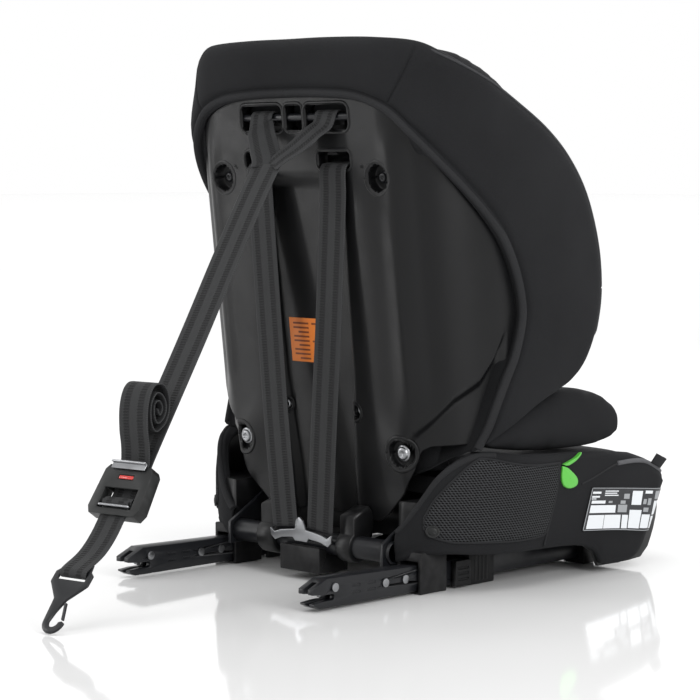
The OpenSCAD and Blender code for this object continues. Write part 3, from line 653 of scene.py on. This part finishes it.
def band_section(t, hem, outer, squeeze=1.0):
    """(s, w, off) of the padded section at one place along the band."""
    d = outer - hem
    length = np.hypot(*d)
    wing = float(smooth_step(t, 2.6, 5.0))
    inner_scale = 0.62 + 0.38 * wing
    out = [(mm / length, off) for mm, off in HEM_PART]
    out += [((17 + (length - 36) * k) / length, 12.9 + (0.5 + 1.6 * wing) * math.sin(math.pi * k))
            for k in np.linspace(0, 1, 8)[1:-1]]
    out += [(1 + mm / length, off if off > 0 else off * inner_scale) for mm, off in EDGE_PART]
    out += [(f if f > 0 else f * wing * 2.4, off * inner_scale) for f, off in INSIDE]
    seam = -2.2 * math.exp(-((t - SEAM_AT) / 0.04) ** 2)
    rows, centre = [], -7
    for f, off in out:
        low = 8 * math.sin(math.pi * min(max(f, 0), 1)) * float(smooth_step(t, 14.6, 16))
        o = centre + (off - centre) * squeeze + (seam if off > 9 else 0)
        s, w = hem[0] + d[0] * f, hem[1] + d[1] * f + low
        rows.append((s, w, o - corner_fall(s, w) * (0.3 + 0.7 * min(max((o + 28) / 38, 0), 1))))
    return rows


def band_piece(side, t0, t1):
    """Points and UVs of the band between two places; the wing's lower end is drawn in and closed."""
    t, hem, outer = band_lines(N_BAND)
    pick = (t >= t0 - 1e-9) & (t <= t1 + 1e-9)
    rows = [band_section(tt, h, o) for tt, h, o in zip(t[pick], hem[pick], outer[pick])]
    if t1 >= len(HEM) - 1:
        h, o = hem[-1], outer[-1]
        step = (hem[-1] - hem[-3]) * 0.5
        for grow, squeeze in ((0.5, 0.93), (0.95, 0.75), (1.2, 0.45), (1.3, 0.1)):
            rows.append(band_section(len(HEM) - 1, h + step * grow, o + step * grow, squeeze))
    q = np.array(rows)
    p = around(side * q[..., 0], q[..., 1], q[..., 2])
    along = np.cumsum(np.linalg.norm(np.diff(p[:, 14], axis=0, prepend=p[:1, 14]), axis=1))
    across = np.cumsum(np.linalg.norm(np.diff(p, axis=1, prepend=p[:, :1]), axis=2), axis=1)
    uv = pairs(along[:, None], across)
    if side > 0:
        p, uv = p[:, ::-1], uv[:, ::-1]
    return p, uv


def mirror_join(left, right):
    """The hood's two halves in one sheet of points, from one seam to the other."""
    return np.concatenate([left[::-1], right[1:]], 0)


# Places along the whole band, and those between which the welt runs
N_BAND, WELT_FROM, WELT_TO = 257, 49, 205
hood_l, uv_l = band_piece(1, 0, SEAM_AT)
hood_r, uv_r = band_piece(-1, 0, SEAM_AT)
uv_l[..., 0] *= -1
hood = grid("hood_cover", mirror_join(hood_l[:, ::-1], hood_r), COVER, mirror_join(uv_l[:, ::-1], uv_r),
            wrap=True)
dress(hood, "backrest", "cover_fabric", "hood")
_, hem_line, outer_line = band_lines(N_BAND)
inward = unit(hem_line - outer_line)
for tag, sign in SIDES:
    p, uv = band_piece(sign, SEAM_AT, len(HEM) - 1)
    wing = grid("wing_cover_" + tag, p, COVER, uv, wrap=True)
    dress(wing, "backrest", "cover_fabric", "wing_" + tag)
    # A fine welt where the outer and inner panels meet along the wing's front edge
    edge = (outer_line + 4.2 * inward)[WELT_FROM:WELT_TO]
    fall = corner_fall(edge[:, 0], edge[:, 1])
    i = np.arange(len(edge))
    tuck = 6 * (2 - smooth_step(i, 0, 10) - smooth_step(len(i) - 1 - i, 0, 10))
    tube("wing_welt_" + tag, around(sign * edge[:, 0], edge[:, 1], 8.4 - fall - tuck), 0.0013, "backrest",
         WELT, "cover_fabric", n=200, k=8)
    # The bound hem that grips the shell, in the lighter binding cloth: painted highlight along its roll
    edge = hem_line - 4.4 * inward
    fall = corner_fall(edge[:, 0], edge[:, 1])
    tube("hem_binding_" + tag, around(sign * edge[:, 0], edge[:, 1], 6.6 - fall), 0.0050, "backrest", HIGHLIGHT_BINDING,
         "cover_fabric", n=300, k=14, flat=0.8, wide=(0, 1, 0))

# --- base cover

# Plan of the base: an elliptic rear arm, a straight side and a rounded front corner
ARM_IN, REAR_Y, REAR_RX, REAR_RY = 124.0, -10.0, 76, 118.0
HALF_W, FRONT, CORNER = 200.0, 255.6, 34.0
COVER_OFF, SEAM_OFF = 5.2, 6.6
front_inset = follow([-1, 4, 19, 35, 59, 84, 97, 160], [60, 58, 39.4, 30.7, 18.4, 4.7, 0, 0])


def base_plan(n):
    """Half of the base's plan from the rear arm round the side to the front, with outward normals."""
    both = [(ARM_IN + REAR_RX * math.cos(a), REAR_Y + REAR_RY * math.sin(a), math.cos(a) / REAR_RX,
             math.sin(a) / REAR_RY) for a in np.radians(np.linspace(90, 0, 50))]
    both += [(HALF_W, y, 1, 0) for y in np.linspace(REAR_Y, CORNER - FRONT, 50)[1:-1]]
    both += [(HALF_W - CORNER + CORNER * math.cos(a), CORNER - FRONT + CORNER * math.sin(a), math.cos(a),
              math.sin(a)) for a in np.radians(np.linspace(0, -90, 16))]
    both += [(x, -FRONT, 0, -1) for x in np.linspace(HALF_W - CORNER, 0, 30)[1:]]
    both = np.array(both)
    p, nrm = both[:, :2], unit(both[:, 2:])
    s = run_of(p)
    at = np.linspace(0, s[-1], n)
    return at, *[np.stack([np.interp(at, s, q[:, k]) for k in (0, 1)], 1) for q in (p, nrm)]


plan_s, plan_p, plan_n = base_plan(320)
# The cover's upper and lower edge
top_at = follow(
    [0, 9, 18.5, 30.5, 43, 54, 66, 85, 105, 144, 204, 234, 265, 294, 325, 345, 357, 369, 381, 395, 420],
    [63, 71.5, 84, 102, 121, 131, 138.5, 145.5, 144.5, 139, 135, 134, 132.5, 130, 126, 120.5, 117, 111.5,
     106.5, 104, 102.5])
low_at = follow(
    [0, 10, 22, 40, 60, 100, 144, 204, 228, 244, 256, 264, 268.5, 272, 280, 325, 345, 360, 375, 395, 420],
    [32, 35, 42, 43, 43, 40.5, 40, 38.4, 36.7, 34, 29.5, 24, 18, 12, 9.5, 9, 10, 10.5, 12, 18, 20])


def on_base(s, z, off):
    """s along the base's plan, z up, off outwards, with the sloping front."""
    x, y = (np.interp(s, plan_s, plan_p[:, k]) for k in (0, 1))
    nx, ny = (np.interp(s, plan_s, plan_n[:, k]) for k in (0, 1))
    fade = smooth_step(-y, 130, 250)
    return np.stack(np.broadcast_arrays(x + nx * off, y + ny * off + front_inset(z) * fade, z), -1) / 1000


def mirrored(p, sign):
    return p * np.array([sign, 1, 1])


def roll_radius(s):
    """Radius of the cover's upper edge, larger along the front."""
    return 7 + 9 * smooth_step(s, 300, 390)


def base_cover_half(sign):
    """Half of the cover from its lower hem up the side, over the edge and a little way in."""
    low, top = low_at(plan_s), top_at(plan_s)
    hem = ((0.2, 0.6), (0.4, 0.2), (0.9, -0.4), (2.6, -0.6), (4.0, 0.5), (4.7, 3.0), (4.4, 5.5), (4.9, 8))
    rows = [on_base(plan_s, low + dz, off) for off, dz in hem]
    radius = roll_radius(plan_s)
    for f in np.linspace(0, 1, 18)[1:]:
        z = low + 8 + (top - radius - low - 8) * f
        lobe = 2.6 * bell(z, 98, 12) * smooth_step(plan_s, 262, 330)
        rows.append(on_base(plan_s, z, COVER_OFF + 0.6 * math.sin(math.pi * f) + lobe))
    for a in np.radians(np.linspace(0, 90, 9)[1:]):
        rows.append(on_base(plan_s, top - radius * (1 - math.sin(a)), COVER_OFF - radius * (1 - math.cos(a))))
    rear = smooth_step(-plan_s, -90, -50)
    for inward, drop in ((4, 0.2), (9, 0.8), (14, 2.2)):
        rows.append(on_base(plan_s, top - drop - 2 * rear, COVER_OFF - radius - inward * (1 - 0.72 * rear)))
    return mirrored(np.array(rows), sign)


left, right = base_cover_half(1), base_cover_half(-1)
cover_pts = np.concatenate([left, right[:, -2::-1]], 1)
length = np.concatenate([plan_s, 2 * plan_s[-1] - plan_s[-2::-1]]) / 1000
heights = np.cumsum(np.linalg.norm(np.diff(cover_pts, axis=0, prepend=cover_pts[:1]), axis=2), axis=0)
cover = grid("base_cover_skin", cover_pts, COVER, pairs(length[None, :], heights))
thicken(cover, 0.0022, 0.0)
dress(cover, "base", "cover_fabric", "base_cover")

# Upper and lower edge of the spacer mesh between its two ends
MESH_REAR, MESH_FRONT = 30.5, 197
mesh_top = follow([30, 38, 55.5, 70, 85.5, 100, 120.5, 144, 165, 197],
                  [77, 95.5, 116, 130, 141, 138.5, 133.5, 129, 127.5, 127])
mesh_low = follow([30, 36.5, 58.5, 93.5, 130, 160, 173, 178, 192, 197],
                  [71, 60, 54, 52.5, 51, 51.5, 53, 60, 95.5, 123])


def eased(line, s, reach=4.0):
    """The line with its corners rounded."""
    return sum(line(s + k) for k in np.linspace(-reach, reach, 9)) / 9


def cord_on_base(name, s, z, off, sign, radius, n, k):
    """A seam or binding that follows the cover."""
    # The lighter binding cloth paints a highlight along the seam or roll
    tube(name, mirrored(on_base(s, z, off), sign), radius, "base", HIGHLIGHT_BINDING, "cover_fabric", n=n, k=k)


def mesh_panel(tag, sign):
    """The panel of spacer mesh, puffed out of the cover, with its binding."""
    s = np.linspace(MESH_REAR, MESH_FRONT, 170)
    zt, zl = eased(mesh_top, s), np.minimum(eased(mesh_low, s), eased(mesh_top, s) - 1.5)
    f = np.linspace(0, 1, 60)
    z = zl[None] + (zt - zl)[None] * f[:, None]
    near = np.minimum(np.minimum(z - zl[None], zt[None] - z), np.minimum(s - MESH_REAR, MESH_FRONT - s)[None])
    off = 7.2 + 1.6 * smooth_step(near, 0, 7)
    p = mirrored(on_base(np.broadcast_to(s, z.shape), z, off), sign)
    panel = grid("mesh_" + tag, p, MESH, pairs(s[None] / 1000, z / 1000))
    dress(panel, "base", "mesh_fabric", "mesh_panel_" + tag)
    loop = np.concatenate([np.stack([s, zt], 1), np.stack([s, zl], 1)[::-1], [[s[0], zt[0]]]])
    cord_on_base("mesh_binding_" + tag, loop[:, 0], loop[:, 1], 7.0, sign, 0.0012, 260, 8)


SNAP_S, SNAP_Z = 39.0, 66
# The press stud as (radius, height)
STUD = [(6.6, 7.0), (6.6, 9.4), (6.0, 10.4), (5.3, 10.3), (4.8, 9.8), (3.8, 10.6), (2.0, 11.0), (0.02, 11.1)]
for tag, sign in SIDES:
    mesh_panel(tag, sign)
    # Press stud: a domed cap with a rim
    ang = np.linspace(0, math.tau, 28, endpoint=False)
    rows = [mirrored(on_base(SNAP_S + r * np.cos(ang), SNAP_Z + r * np.sin(ang), h), sign) for r, h in STUD]
    dress(grid("press_stud_" + tag, np.array(rows), GREY, wrap=True), "base", "dark_plastic", "cover_snaps")
    # Rolled edge down the cover's rear corner, and the seams of the side panel, in the lighter binding cloth:
    # painted highlight along them
    edge = np.linspace(1, 104, 30)
    cord_on_base("rear_edge_" + tag, edge, eased(top_at, edge) - 2.4, 3.8, sign, 0.0034, 120, 10)
    for name, line in (("seam_side", [(197, 127), (192, 95.5), (182, 68), (176, 52), (172, 41)]),
                       ("seam_front", [(234, 101), (248, 104), (265, 109), (281, 114), (297, 118)])):
        q = spline(line, 40)
        cord_on_base(name + "_" + tag, q[:, 0], q[:, 1], SEAM_OFF, sign, 0.0012, 40, 8)
# Grey piping along the front roll's top; its light grey is partly a painted highlight
PIPE = [(296, 118), (325, 118.3), (345, 116), (357, 112.5), (369, 107), (381, 102), (400, 99), (440, 98),
        (500, 98), (585, 98)]
q = spline(PIPE, 90)
radius = roll_radius(q[:, 0])
height = np.clip(1 - (top_at(q[:, 0]) - q[:, 1]) / radius, 0, 1)
pipe = on_base(q[:, 0], q[:, 1], SEAM_OFF - radius * (1 - np.sqrt(1 - height ** 2)))
pipe = np.concatenate([pipe, mirrored(pipe, -1)[-2::-1]], 0)
tube("front_piping", pipe, 0.0026, "base", PIPING_AND_HIGHLIGHT, "cover_fabric", n=260, k=10)

# --- soft pieces by cloth simulation

# How far a cushion may swell out of its CAD box
PROUD = 0.4 * 0.012


def relax(obj, factor, rounds):
    """Smooth the active mesh for good."""
    smooth = obj.modifiers.new("relax", "SMOOTH")
    smooth.factor, smooth.iterations = factor, rounds
    bpy.ops.object.modifier_apply(modifier="relax")


def stuffed(name, node, material, body, voxel, cap, shrink=0.97):
    """A cushion from a CAD solid: remeshed, swollen by cloth pressure, capped and subdivided."""
    source = nodes[node]
    obj = bpy.data.objects.new(name, source.data.copy())
    obj.data.materials.clear()
    scene.collection.objects.link(obj)
    lo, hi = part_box(node)
    centre = (lo + hi) / 2
    obj.data.transform(Matrix.Translation(centre) @ Matrix.Scale(shrink, 4) @ Matrix.Translation(-centre))
    bpy.context.view_layer.objects.active = obj
    bpy.ops.object.select_all(action="DESELECT")
    obj.select_set(True)
    remesh = obj.modifiers.new("remesh", "REMESH")
    remesh.mode, remesh.voxel_size, remesh.use_smooth_shade = "VOXEL", voxel, True
    bpy.ops.object.modifier_apply(modifier="remesh")
    rest = np.array([v.co for v in obj.data.vertices])
    relax(obj, 0.6, 6)
    if FULL:
        cloth = obj.modifiers.new("cloth", "CLOTH")
        cloth.settings.use_pressure = True
        cloth.settings.uniform_pressure_force = 4.0
        cloth.settings.quality = 4
        cloth.settings.tension_stiffness = cloth.settings.compression_stiffness = 18
        cloth.settings.effector_weights.gravity = 0
        cloth.collision_settings.use_collision = False
        for f in range(1, 16):
            scene.frame_set(f)
        bpy.ops.object.modifier_apply(modifier="cloth")
        scene.frame_set(1)
        now = np.array([v.co for v in obj.data.vertices])
        move = now - rest
        size = np.linalg.norm(move, axis=1)
        now = rest + move * np.minimum(1, cap / np.maximum(size, 1e-9))[:, None]
        now = np.clip(now, np.array(lo) - PROUD, np.array(hi) + PROUD)
        obj.data.vertices.foreach_set("co", now.ravel())
        obj.data.update()
    relax(obj, 0.5, 4)
    sub = obj.modifiers.new("fine", "SUBSURF")
    sub.levels = sub.render_levels = 1
    obj.data.materials.append(material)
    smooth_faces(obj)
    dress(obj, body, "cover_fabric", node)


stuffed("seat_cushion_soft", "seat_cushion", INNER, "base", voxel=0.006, cap=0.006)
stuffed("back_cushion", "back_pad", INNER, "backrest", voxel=0.006, cap=0.006)
stuffed("headrest_cushion", "headrest_pad", COVER, "headrest", voxel=0.006, cap=0.010)
stuffed("crotch_pad_soft", "crotch_pad", INNER, "base", voxel=0.003, cap=0.003)
for tag, _ in SIDES:
    stuffed("hip_lobe_" + tag, "hip_pad_" + tag, COVER, "backrest", voxel=0.005, cap=0.012,
            shrink=0.99)

# --- webbing


def leaned(points, sign):
    return [tuple(lean(sign * x, v, w)) for x, v, w in points]


# Routes in the leaned frame, (x, v, w)
STRAP = [(26, 14.5, 16), (30, 11, 60), (37, 4, 140), (46, -7, 250), (54, -17.5, 360), (55, -20, 392),
         (55, -23, 400.5), (55, -30, 403), (55, -60, 402), (55, -84, 400), (55, -91, 396), (54, -96, 386),
         (53, -100, 376), (36, -122, 280), (20.5, -148, 186)]
PAD = [(52, -102.5, 366), (46, -109.6, 332), (38, -119.8, 290), (31, -127.5, 255)]
LINING = [(54.5, -41.6, 421.5), (54.5, -46, 417), (54.5, -54, 411.5), (54.5, -61, 406.5), (54.5, -68, 404.6),
          (54.5, -80, 404.2)]
ACROSS, WEB, WEB_T = (1, 0, 0), 0.038, 0.0016
for tag, sign in SIDES:
    ribbon("shoulder_webbing_" + tag, leaned(STRAP, sign), ACROSS, WEB, WEB_T, "backrest",
           "harness_strap_" + tag, n=240)
    ribbon("slot_lining_" + tag, leaned(LINING, sign), ACROSS, 0.050, 0.0014, "backrest", n=24)
    pad = ribbon("shoulder_pad_" + tag, leaned(PAD, sign), ACROSS, 0.058, 0.012, "backrest", "shoulder_pads",
                 n=50, material=INNER, slot="cover_fabric", crown=0.003)
ribbon("crotch_webbing", [(0, -0.0813, 0.1061), (0, -0.0720, 0.126), (0, -0.0587, 0.1545)], ACROSS,
       0.030, WEB_T, "base", "crotch_strap", n=30)
# A flap that closes the gap between the back pad and the deck
ribbon("back_pad_skirt", [(0, .054, .1145), (0, .0552, .108), (0, .0555, .102), (0, .0552, .0962)], ACROSS,
       0.288, 0.0020, "backrest", n=16, material=INNER, slot="cover_fabric")
PULL = [(0, .126, .034), (0, .126, .022), (0, .1252, .018), (0, .121, .0158), (0, .110, .016), (0, .040, .020),
        (0, -.060, .040), (0, -.160, .062), (0, -.205, .076), (0, -.219, .084), (0, -.222, .094)]
ribbon("adjuster_webbing", PULL, ACROSS, 0.032, WEB_T, "base", "adjuster_strap", n=120)

TURN = math.radians(7)
TETHER_DIR = (math.cos(TURN), math.sin(TURN), 0)
# Routes of the tether in mm
LEG = [(48, 127.6, 484), (48, 127.3, 490.2), (48, 127.8, 495.6), (48, 131.6, 498.6), (48, 136.5, 497.9),
       (48, 139.6, 494), (46, 143, 484), (38, 150, 475), (24, 160, 461), (10, 170, 449), (4, 177, 441)]
MAIN = [(-1, 178, 443), (-3, 205, 404), (-7, 245, 343), (-13, 290, 275), (-18, 335, 208), (-22, 366, 163),
        (-23, 378, 144), (-24, 386, 130)]
TAIL = [(-25, 385.1, 141.1), (-24, 380.4, 150), (-24, 380, 165), (-24, 382, 182), (-23, 381, 203),
        (-22, 376, 219), (-21, 368, 227), (-20, 357, 226), (-19, 350, 216), (-19, 349, 204), (-20, 353, 192),
        (-20, 360, 184), (-21, 368, 181), (-22, 374, 187), (-22, 376, 199), (-22, 374, 211), (-21, 366, 219),
        (-20, 357, 214), (-20, 354, 203), (-20, 358, 193), (-21, 366, 189), (-22, 371, 196), (-21, 370, 207),
        (-21, 364, 211), (-20, 359, 204), (-21, 363, 197), (-21, 366, 202)]
TO_HOOK = [(-29, 425, 84), (-32, 443, 68)]
# Where the fittings sit in mm and how far each tilts, in degrees
ADJUSTER, HOOK = ((-25, 394, 123), 34), ((-35, 469.5, 47), 42)


def metres(points):
    return [tuple(c / 1000 for c in p) for p in points]


def local(origin, tilt, points):
    """Points of a fitting's own frame (x across, y out of its face, z up the strap), in metres."""
    turned = Matrix.Rotation(TURN, 4, "Z") @ Matrix.Rotation(math.radians(tilt), 4, "X")
    return metres(Matrix.Translation(origin) @ turned @ Vector(p) for p in points)


for tag, sign in SIDES:
    route = [(sign * x - 2 * (1 - x / 48), y, z) for x, y, z in LEG]
    twist = 0.6 if sign > 0 else -0.2
    turned = [(1, twist * k, 0) for k in (0, 0, 0, 0.02, 0.1, 0.2, 0.4, 0.6, 0.8, 1)]
    ribbon("tether_leg_" + tag, metres(route), turned, 0.032, WEB_T, "tether", "tether_legs", n=90)
main = ribbon("tether_webbing", metres(MAIN), TETHER_DIR, WEB, WEB_T, "tether", "tether_strap", n=160)
tail = ribbon("tether_tail_roll", metres(TAIL), TETHER_DIR, WEB, WEB_T, "tether", "tether_tail", n=300)
short_route = local(*ADJUSTER, [(0, 7.2, -13.5), (0, 6.4, -17.5), (0, 3.0, -21.5)]) + metres(TO_HOOK) \
    + local(*HOOK, [(0, 2.0, 12), (0, 3.2, 7), (0, 1.2, 2.5), (0, -2.6, 3.5), (0, -2.8, 9), (0, -1.4, 18)])
short = ribbon("hook_webbing", short_route, TETHER_DIR, 0.034, 0.0022, "hook", "hook_strap", n=160)
roll = [(0, 4.4 * math.cos(a), -13 + 4.4 * math.sin(a)) for a in np.radians(np.linspace(-150, 150, 20))] \
    + [(0, -4.2, -5), (0, -4.0, 2), (0, -3.4, 8)]
roll = ribbon("adjuster_webbing_roll", local(*ADJUSTER, roll), TETHER_DIR, 0.037, 0.0022, "tether", n=60)
wire = [(x, y, -19.6) for x, y in ((-19, 2), (-19, 7.4), (-17, 8.4), (0, 8.4), (17, 8.4), (19, 7.4), (19, 2))]
wire = tube("adjuster_wire", local(*ADJUSTER, wire), 0.0013, "tether", ZINC, "zinc_steel", n=70)
window = [local(*ADJUSTER, [(x, y, z) for x, z in rounded_box(-9.2 + i, 9.2 - i, 10.2 + i, 13.8 - i, 1.0)])
          for y, i in ((5.9, 0), (6.7, 0), (7.0, 0.4), (7.1, 0.9))]
window = dress(grid("adjuster_window", np.array(window), RED, wrap=True, caps=True), "tether", "button_red")
metres(MAIN)[0]
[tuple(p) for p in spline(metres(MAIN), 60)]

# --- labels: generic boxes and bars


def plates(name, boxes, place, material, body, slot):
    """Thin rectangles on a label: boxes are (a0, b0, a1, b1) and place maps (a, b) to a point.
    Each is cut into narrow columns, so that it follows the label round the corner."""
    verts, faces = [], []
    for a0, b0, a1, b1 in boxes:
        columns = max(1, math.ceil((a1 - a0) / 0.03))
        for i in range(columns + 1):
            a = a0 + (a1 - a0) * i / columns
            verts += [place(a, b0), place(a, b1)]
            if i:
                k = len(verts)
                faces.append((k - 4, k - 2, k - 1, k - 3))
    dress(new_mesh(name, verts, faces, material, smooth=False), body, slot)


# The side sticker's corners on the base, (s, z): rear low, rear high, front high, front low
LABEL = [(234.5, 50.5), (251.0, 95.5), (380.5, 83.0), (394.0, 36.5)]
LABEL_OFF, PRINT_LIFT = 8.2, 0.35


def label_point(a, b, lift=0.0):
    """a from 0 at the rear to 1 at the front, b from 0 at the bottom to 1 at the top."""
    low = np.array(LABEL[0]) * (1 - a) + np.array(LABEL[3]) * a
    high = np.array(LABEL[1]) * (1 - a) + np.array(LABEL[2]) * a
    s, z = low * (1 - b) + high * b
    return tuple(mirrored(on_base(s, z, LABEL_OFF + lift), -1))


backing = np.array([[label_point(a, b) for a in np.linspace(0, 1, 20)] for b in np.linspace(0, 1, 10)])
label = dress(grid("side_label_film", backing, PAPER), "base", "label_paper", "side_label")
thicken(label, 0.0004)
LIGHT = [(.03, .04, .21, .36), (.215, .04, .42, .36), (.44, .04, .53, .36), (.545, .05, .735, .48),
         (.75, .06, .875, .38), (.03, .41, .34, .59), (.03, .63, .20, .70), (.56, .60, .71, .93),
         (.02, .86, .13, .91), (.02, .77, .12, .81), (.18, .91, .36, .935), (.18, .86, .34, .885),
         (.18, .81, .36, .835), (.75, .87, .86, .94), (.89, .05, .98, .34), (.90, .37, .975, .70),
         (.02, .73, .08, .75)]
DIM = [(.37, .42, .50, .60), (.40, .62, .47, .70), (.44, .74, .52, .86), (.74, .62, .79, .74),
       (.81, .60, .86, .76), (.90, .74, .975, .93), (.0, .985, 1.0, 1.0), (.0, .0, 1.0, .018),
       (.0, .0, .008, 1.0), (.24, .64, .29, .69), (.76, .44, .84, .54)]
for name, boxes, material in (("side_label_light", LIGHT, PRINT), ("side_label_dim", DIM, PRINT_DIM)):
    plates(name, boxes, lambda a, b: label_point(a, b, PRINT_LIFT), material, "base", "label_paper")


def rear_label_point(a, b):
    """a across the orange sticker, b up it."""
    return tuple(lean(-18 + 61 * a, -34 + 0.9, 188 + 48 * b))


bars = [(0.52, 0.06 + 0.1 * k, 0.90 if k % 3 else 0.78, 0.10 + 0.1 * k) for k in range(9)]
bars += [(0.08, 0.06 + 0.1 * k, 0.44 - (0.1 if k % 4 else 0), 0.10 + 0.1 * k) for k in range(9)]
plates("rear_label_lines", bars, rear_label_point, ORANGE_INK, "backrest", "label_orange")

# A small woven tag on the base's front corner, left plain
tag_pts = np.array([[mirrored(on_base(357 + 17 * a, 113 - 8 * a + 11 * b, 6 + 8 * b + math.sin(3 * a)), -1)
                     for a in np.linspace(0, 1, 12)] for b in np.linspace(0, 1, 8)])
woven = dress(grid("woven_tag", tag_pts, HIGHLIGHT_BINDING), "base", "cover_fabric")
thicken(woven, 0.0008)

# --- belt guides: two green leaves a side

LEAF_X = 206.2
# A leaf's section as (share of its outline, share of its thickness)
LEAF = [(0.9, 0), (0.98, 0.12), (1, 0.35), (1, 0.65), (0.97, 0.88), (0.88, 1), (0.5, 1.12), (0.02, 1.15)]


def blade(name, outline, sign, thick, replaced):
    """A leaf-shaped blade standing just off the cover's side: softly rounded all round."""
    pts = spline(outline + outline[:1], 60)[:-1] + (6.0, 0.5)
    centre = pts.mean(0)
    rows = []
    for inset, h in LEAF:
        q = centre + (pts - centre) * inset
        rows.append(np.stack([np.full(len(q), sign * (LEAF_X + thick * h)), q[:, 0], q[:, 1]], 1) / 1000)
    dress(grid(name, np.array(rows), GREEN, wrap=True), "base", "green_plastic", replaced)


# Outlines of the leaves, (y, z)
UPPER = [(-62, 124.8), (-72, 127.2), (-84, 131), (-92.5, 135.6), (-91, 132.0), (-82, 126.6), (-70, 122.9)]
LOWER = [(-62, 123.2), (-60.5, 112), (-63, 103), (-70.5, 98.6), (-80, 98.4), (-86.6, 101.5), (-86.5, 107.5),
         (-80, 114), (-70, 120.5)]
for tag, sign in SIDES:
    blade("guide_upper_" + tag, UPPER, sign, 3.8, "belt_guide_" + tag)
    blade("guide_lower_" + tag, LOWER, sign, 3.6, "belt_guide_" + tag)

# --- carried-over CAD nodes

# A name that ends in _ stands for its left and its right node
SHOWN = {
    DARK: ["isofix_guide_", "strap_guide", "buckle_body", "adjuster_box", "headrest_shell", "headrest_handle",
           "carriage_", "release_button_"],
    SHELL: ["base_shell"],
    RED: ["buckle_button", "adjuster_button"],
    BLACK_STEEL: ["cross_tube", "tube_brackets", "guide_rail_", "isofix_arm_", "tether_bar", "tether_hook",
                  "hook_gate"],
    ZINC: ["buckle_tongues", "yoke_plate", "arm_rivets_", "latch_hook_", "adjuster_lever"],
    GREY: ["tether_adjuster"],
    ORANGE: ["back_label"],
}
# Edge radius in metres where it isn't FINE
FINE = 0.0007
ROUND = {"base_shell": 0.002, "tether_adjuster": 0.0016, "buckle_body": 0.0012, "isofix_guide_": 0.0012,
         "strap_guide": 0.006, "tube_brackets": 0.0006, "tether_hook": 0.0009, "back_label": 0.0001,
         "yoke_plate": 0.0005, "adjuster_lever": 0.0006, "hook_gate": 0.0003}
for material, names in SHOWN.items():
    for n, tag in [(n, tag) for n in names for tag in (("left", "right") if n[-1] == "_" else ("",))]:
        o = nodes[n + tag]
        o.data.materials.clear()
        o.data.materials.append(material)
        smooth_faces(o)
        weld = o.modifiers.new("weld", "WELD")
        weld.merge_threshold = 0.00002
        bevel = o.modifiers.new("edges", "BEVEL")
        bevel.width, bevel.segments, bevel.limit_method = ROUND.get(n, FINE), 2, "ANGLE"
        bevel.angle_limit, bevel.harden_normals = math.radians(32), True
        bevel.use_clamp_overlap = True

# --- floor and surroundings

# Pale gloss that turns white away from the seat, so that no horizon shows
gloss = Shader("floor_gloss", 0.07)
smear = gloss.math("MULTIPLY_ADD", gloss.noise(2.2, 3), 0.03, 0.74)
away = gloss.node("ShaderNodeVectorMath", out="Value", sets={"operation": "LENGTH"}, i0=gloss.coords())
fade = gloss.ramp(gloss.mul(away, 0.1), (0.06, 0.0), (0.45, 1.0))
gloss.colour(gloss.mix(fade, smear, (1.0, 1.0, 1.0)))
floor = new_mesh("floor", [(-30, -30, 0), (30, -30, 0), (30, 30, 0), (-30, 30, 0)], [(0, 1, 2, 3)], gloss.mat)
floor.location.z = -0.0004
world = bpy.data.worlds.new("studio")
scene.world = world
world.use_nodes = True
world.node_tree.nodes["Background"].inputs["Color"].default_value = (1, 1, 1, 1)
world.node_tree.nodes["Background"].inputs["Strength"].default_value = 1.0
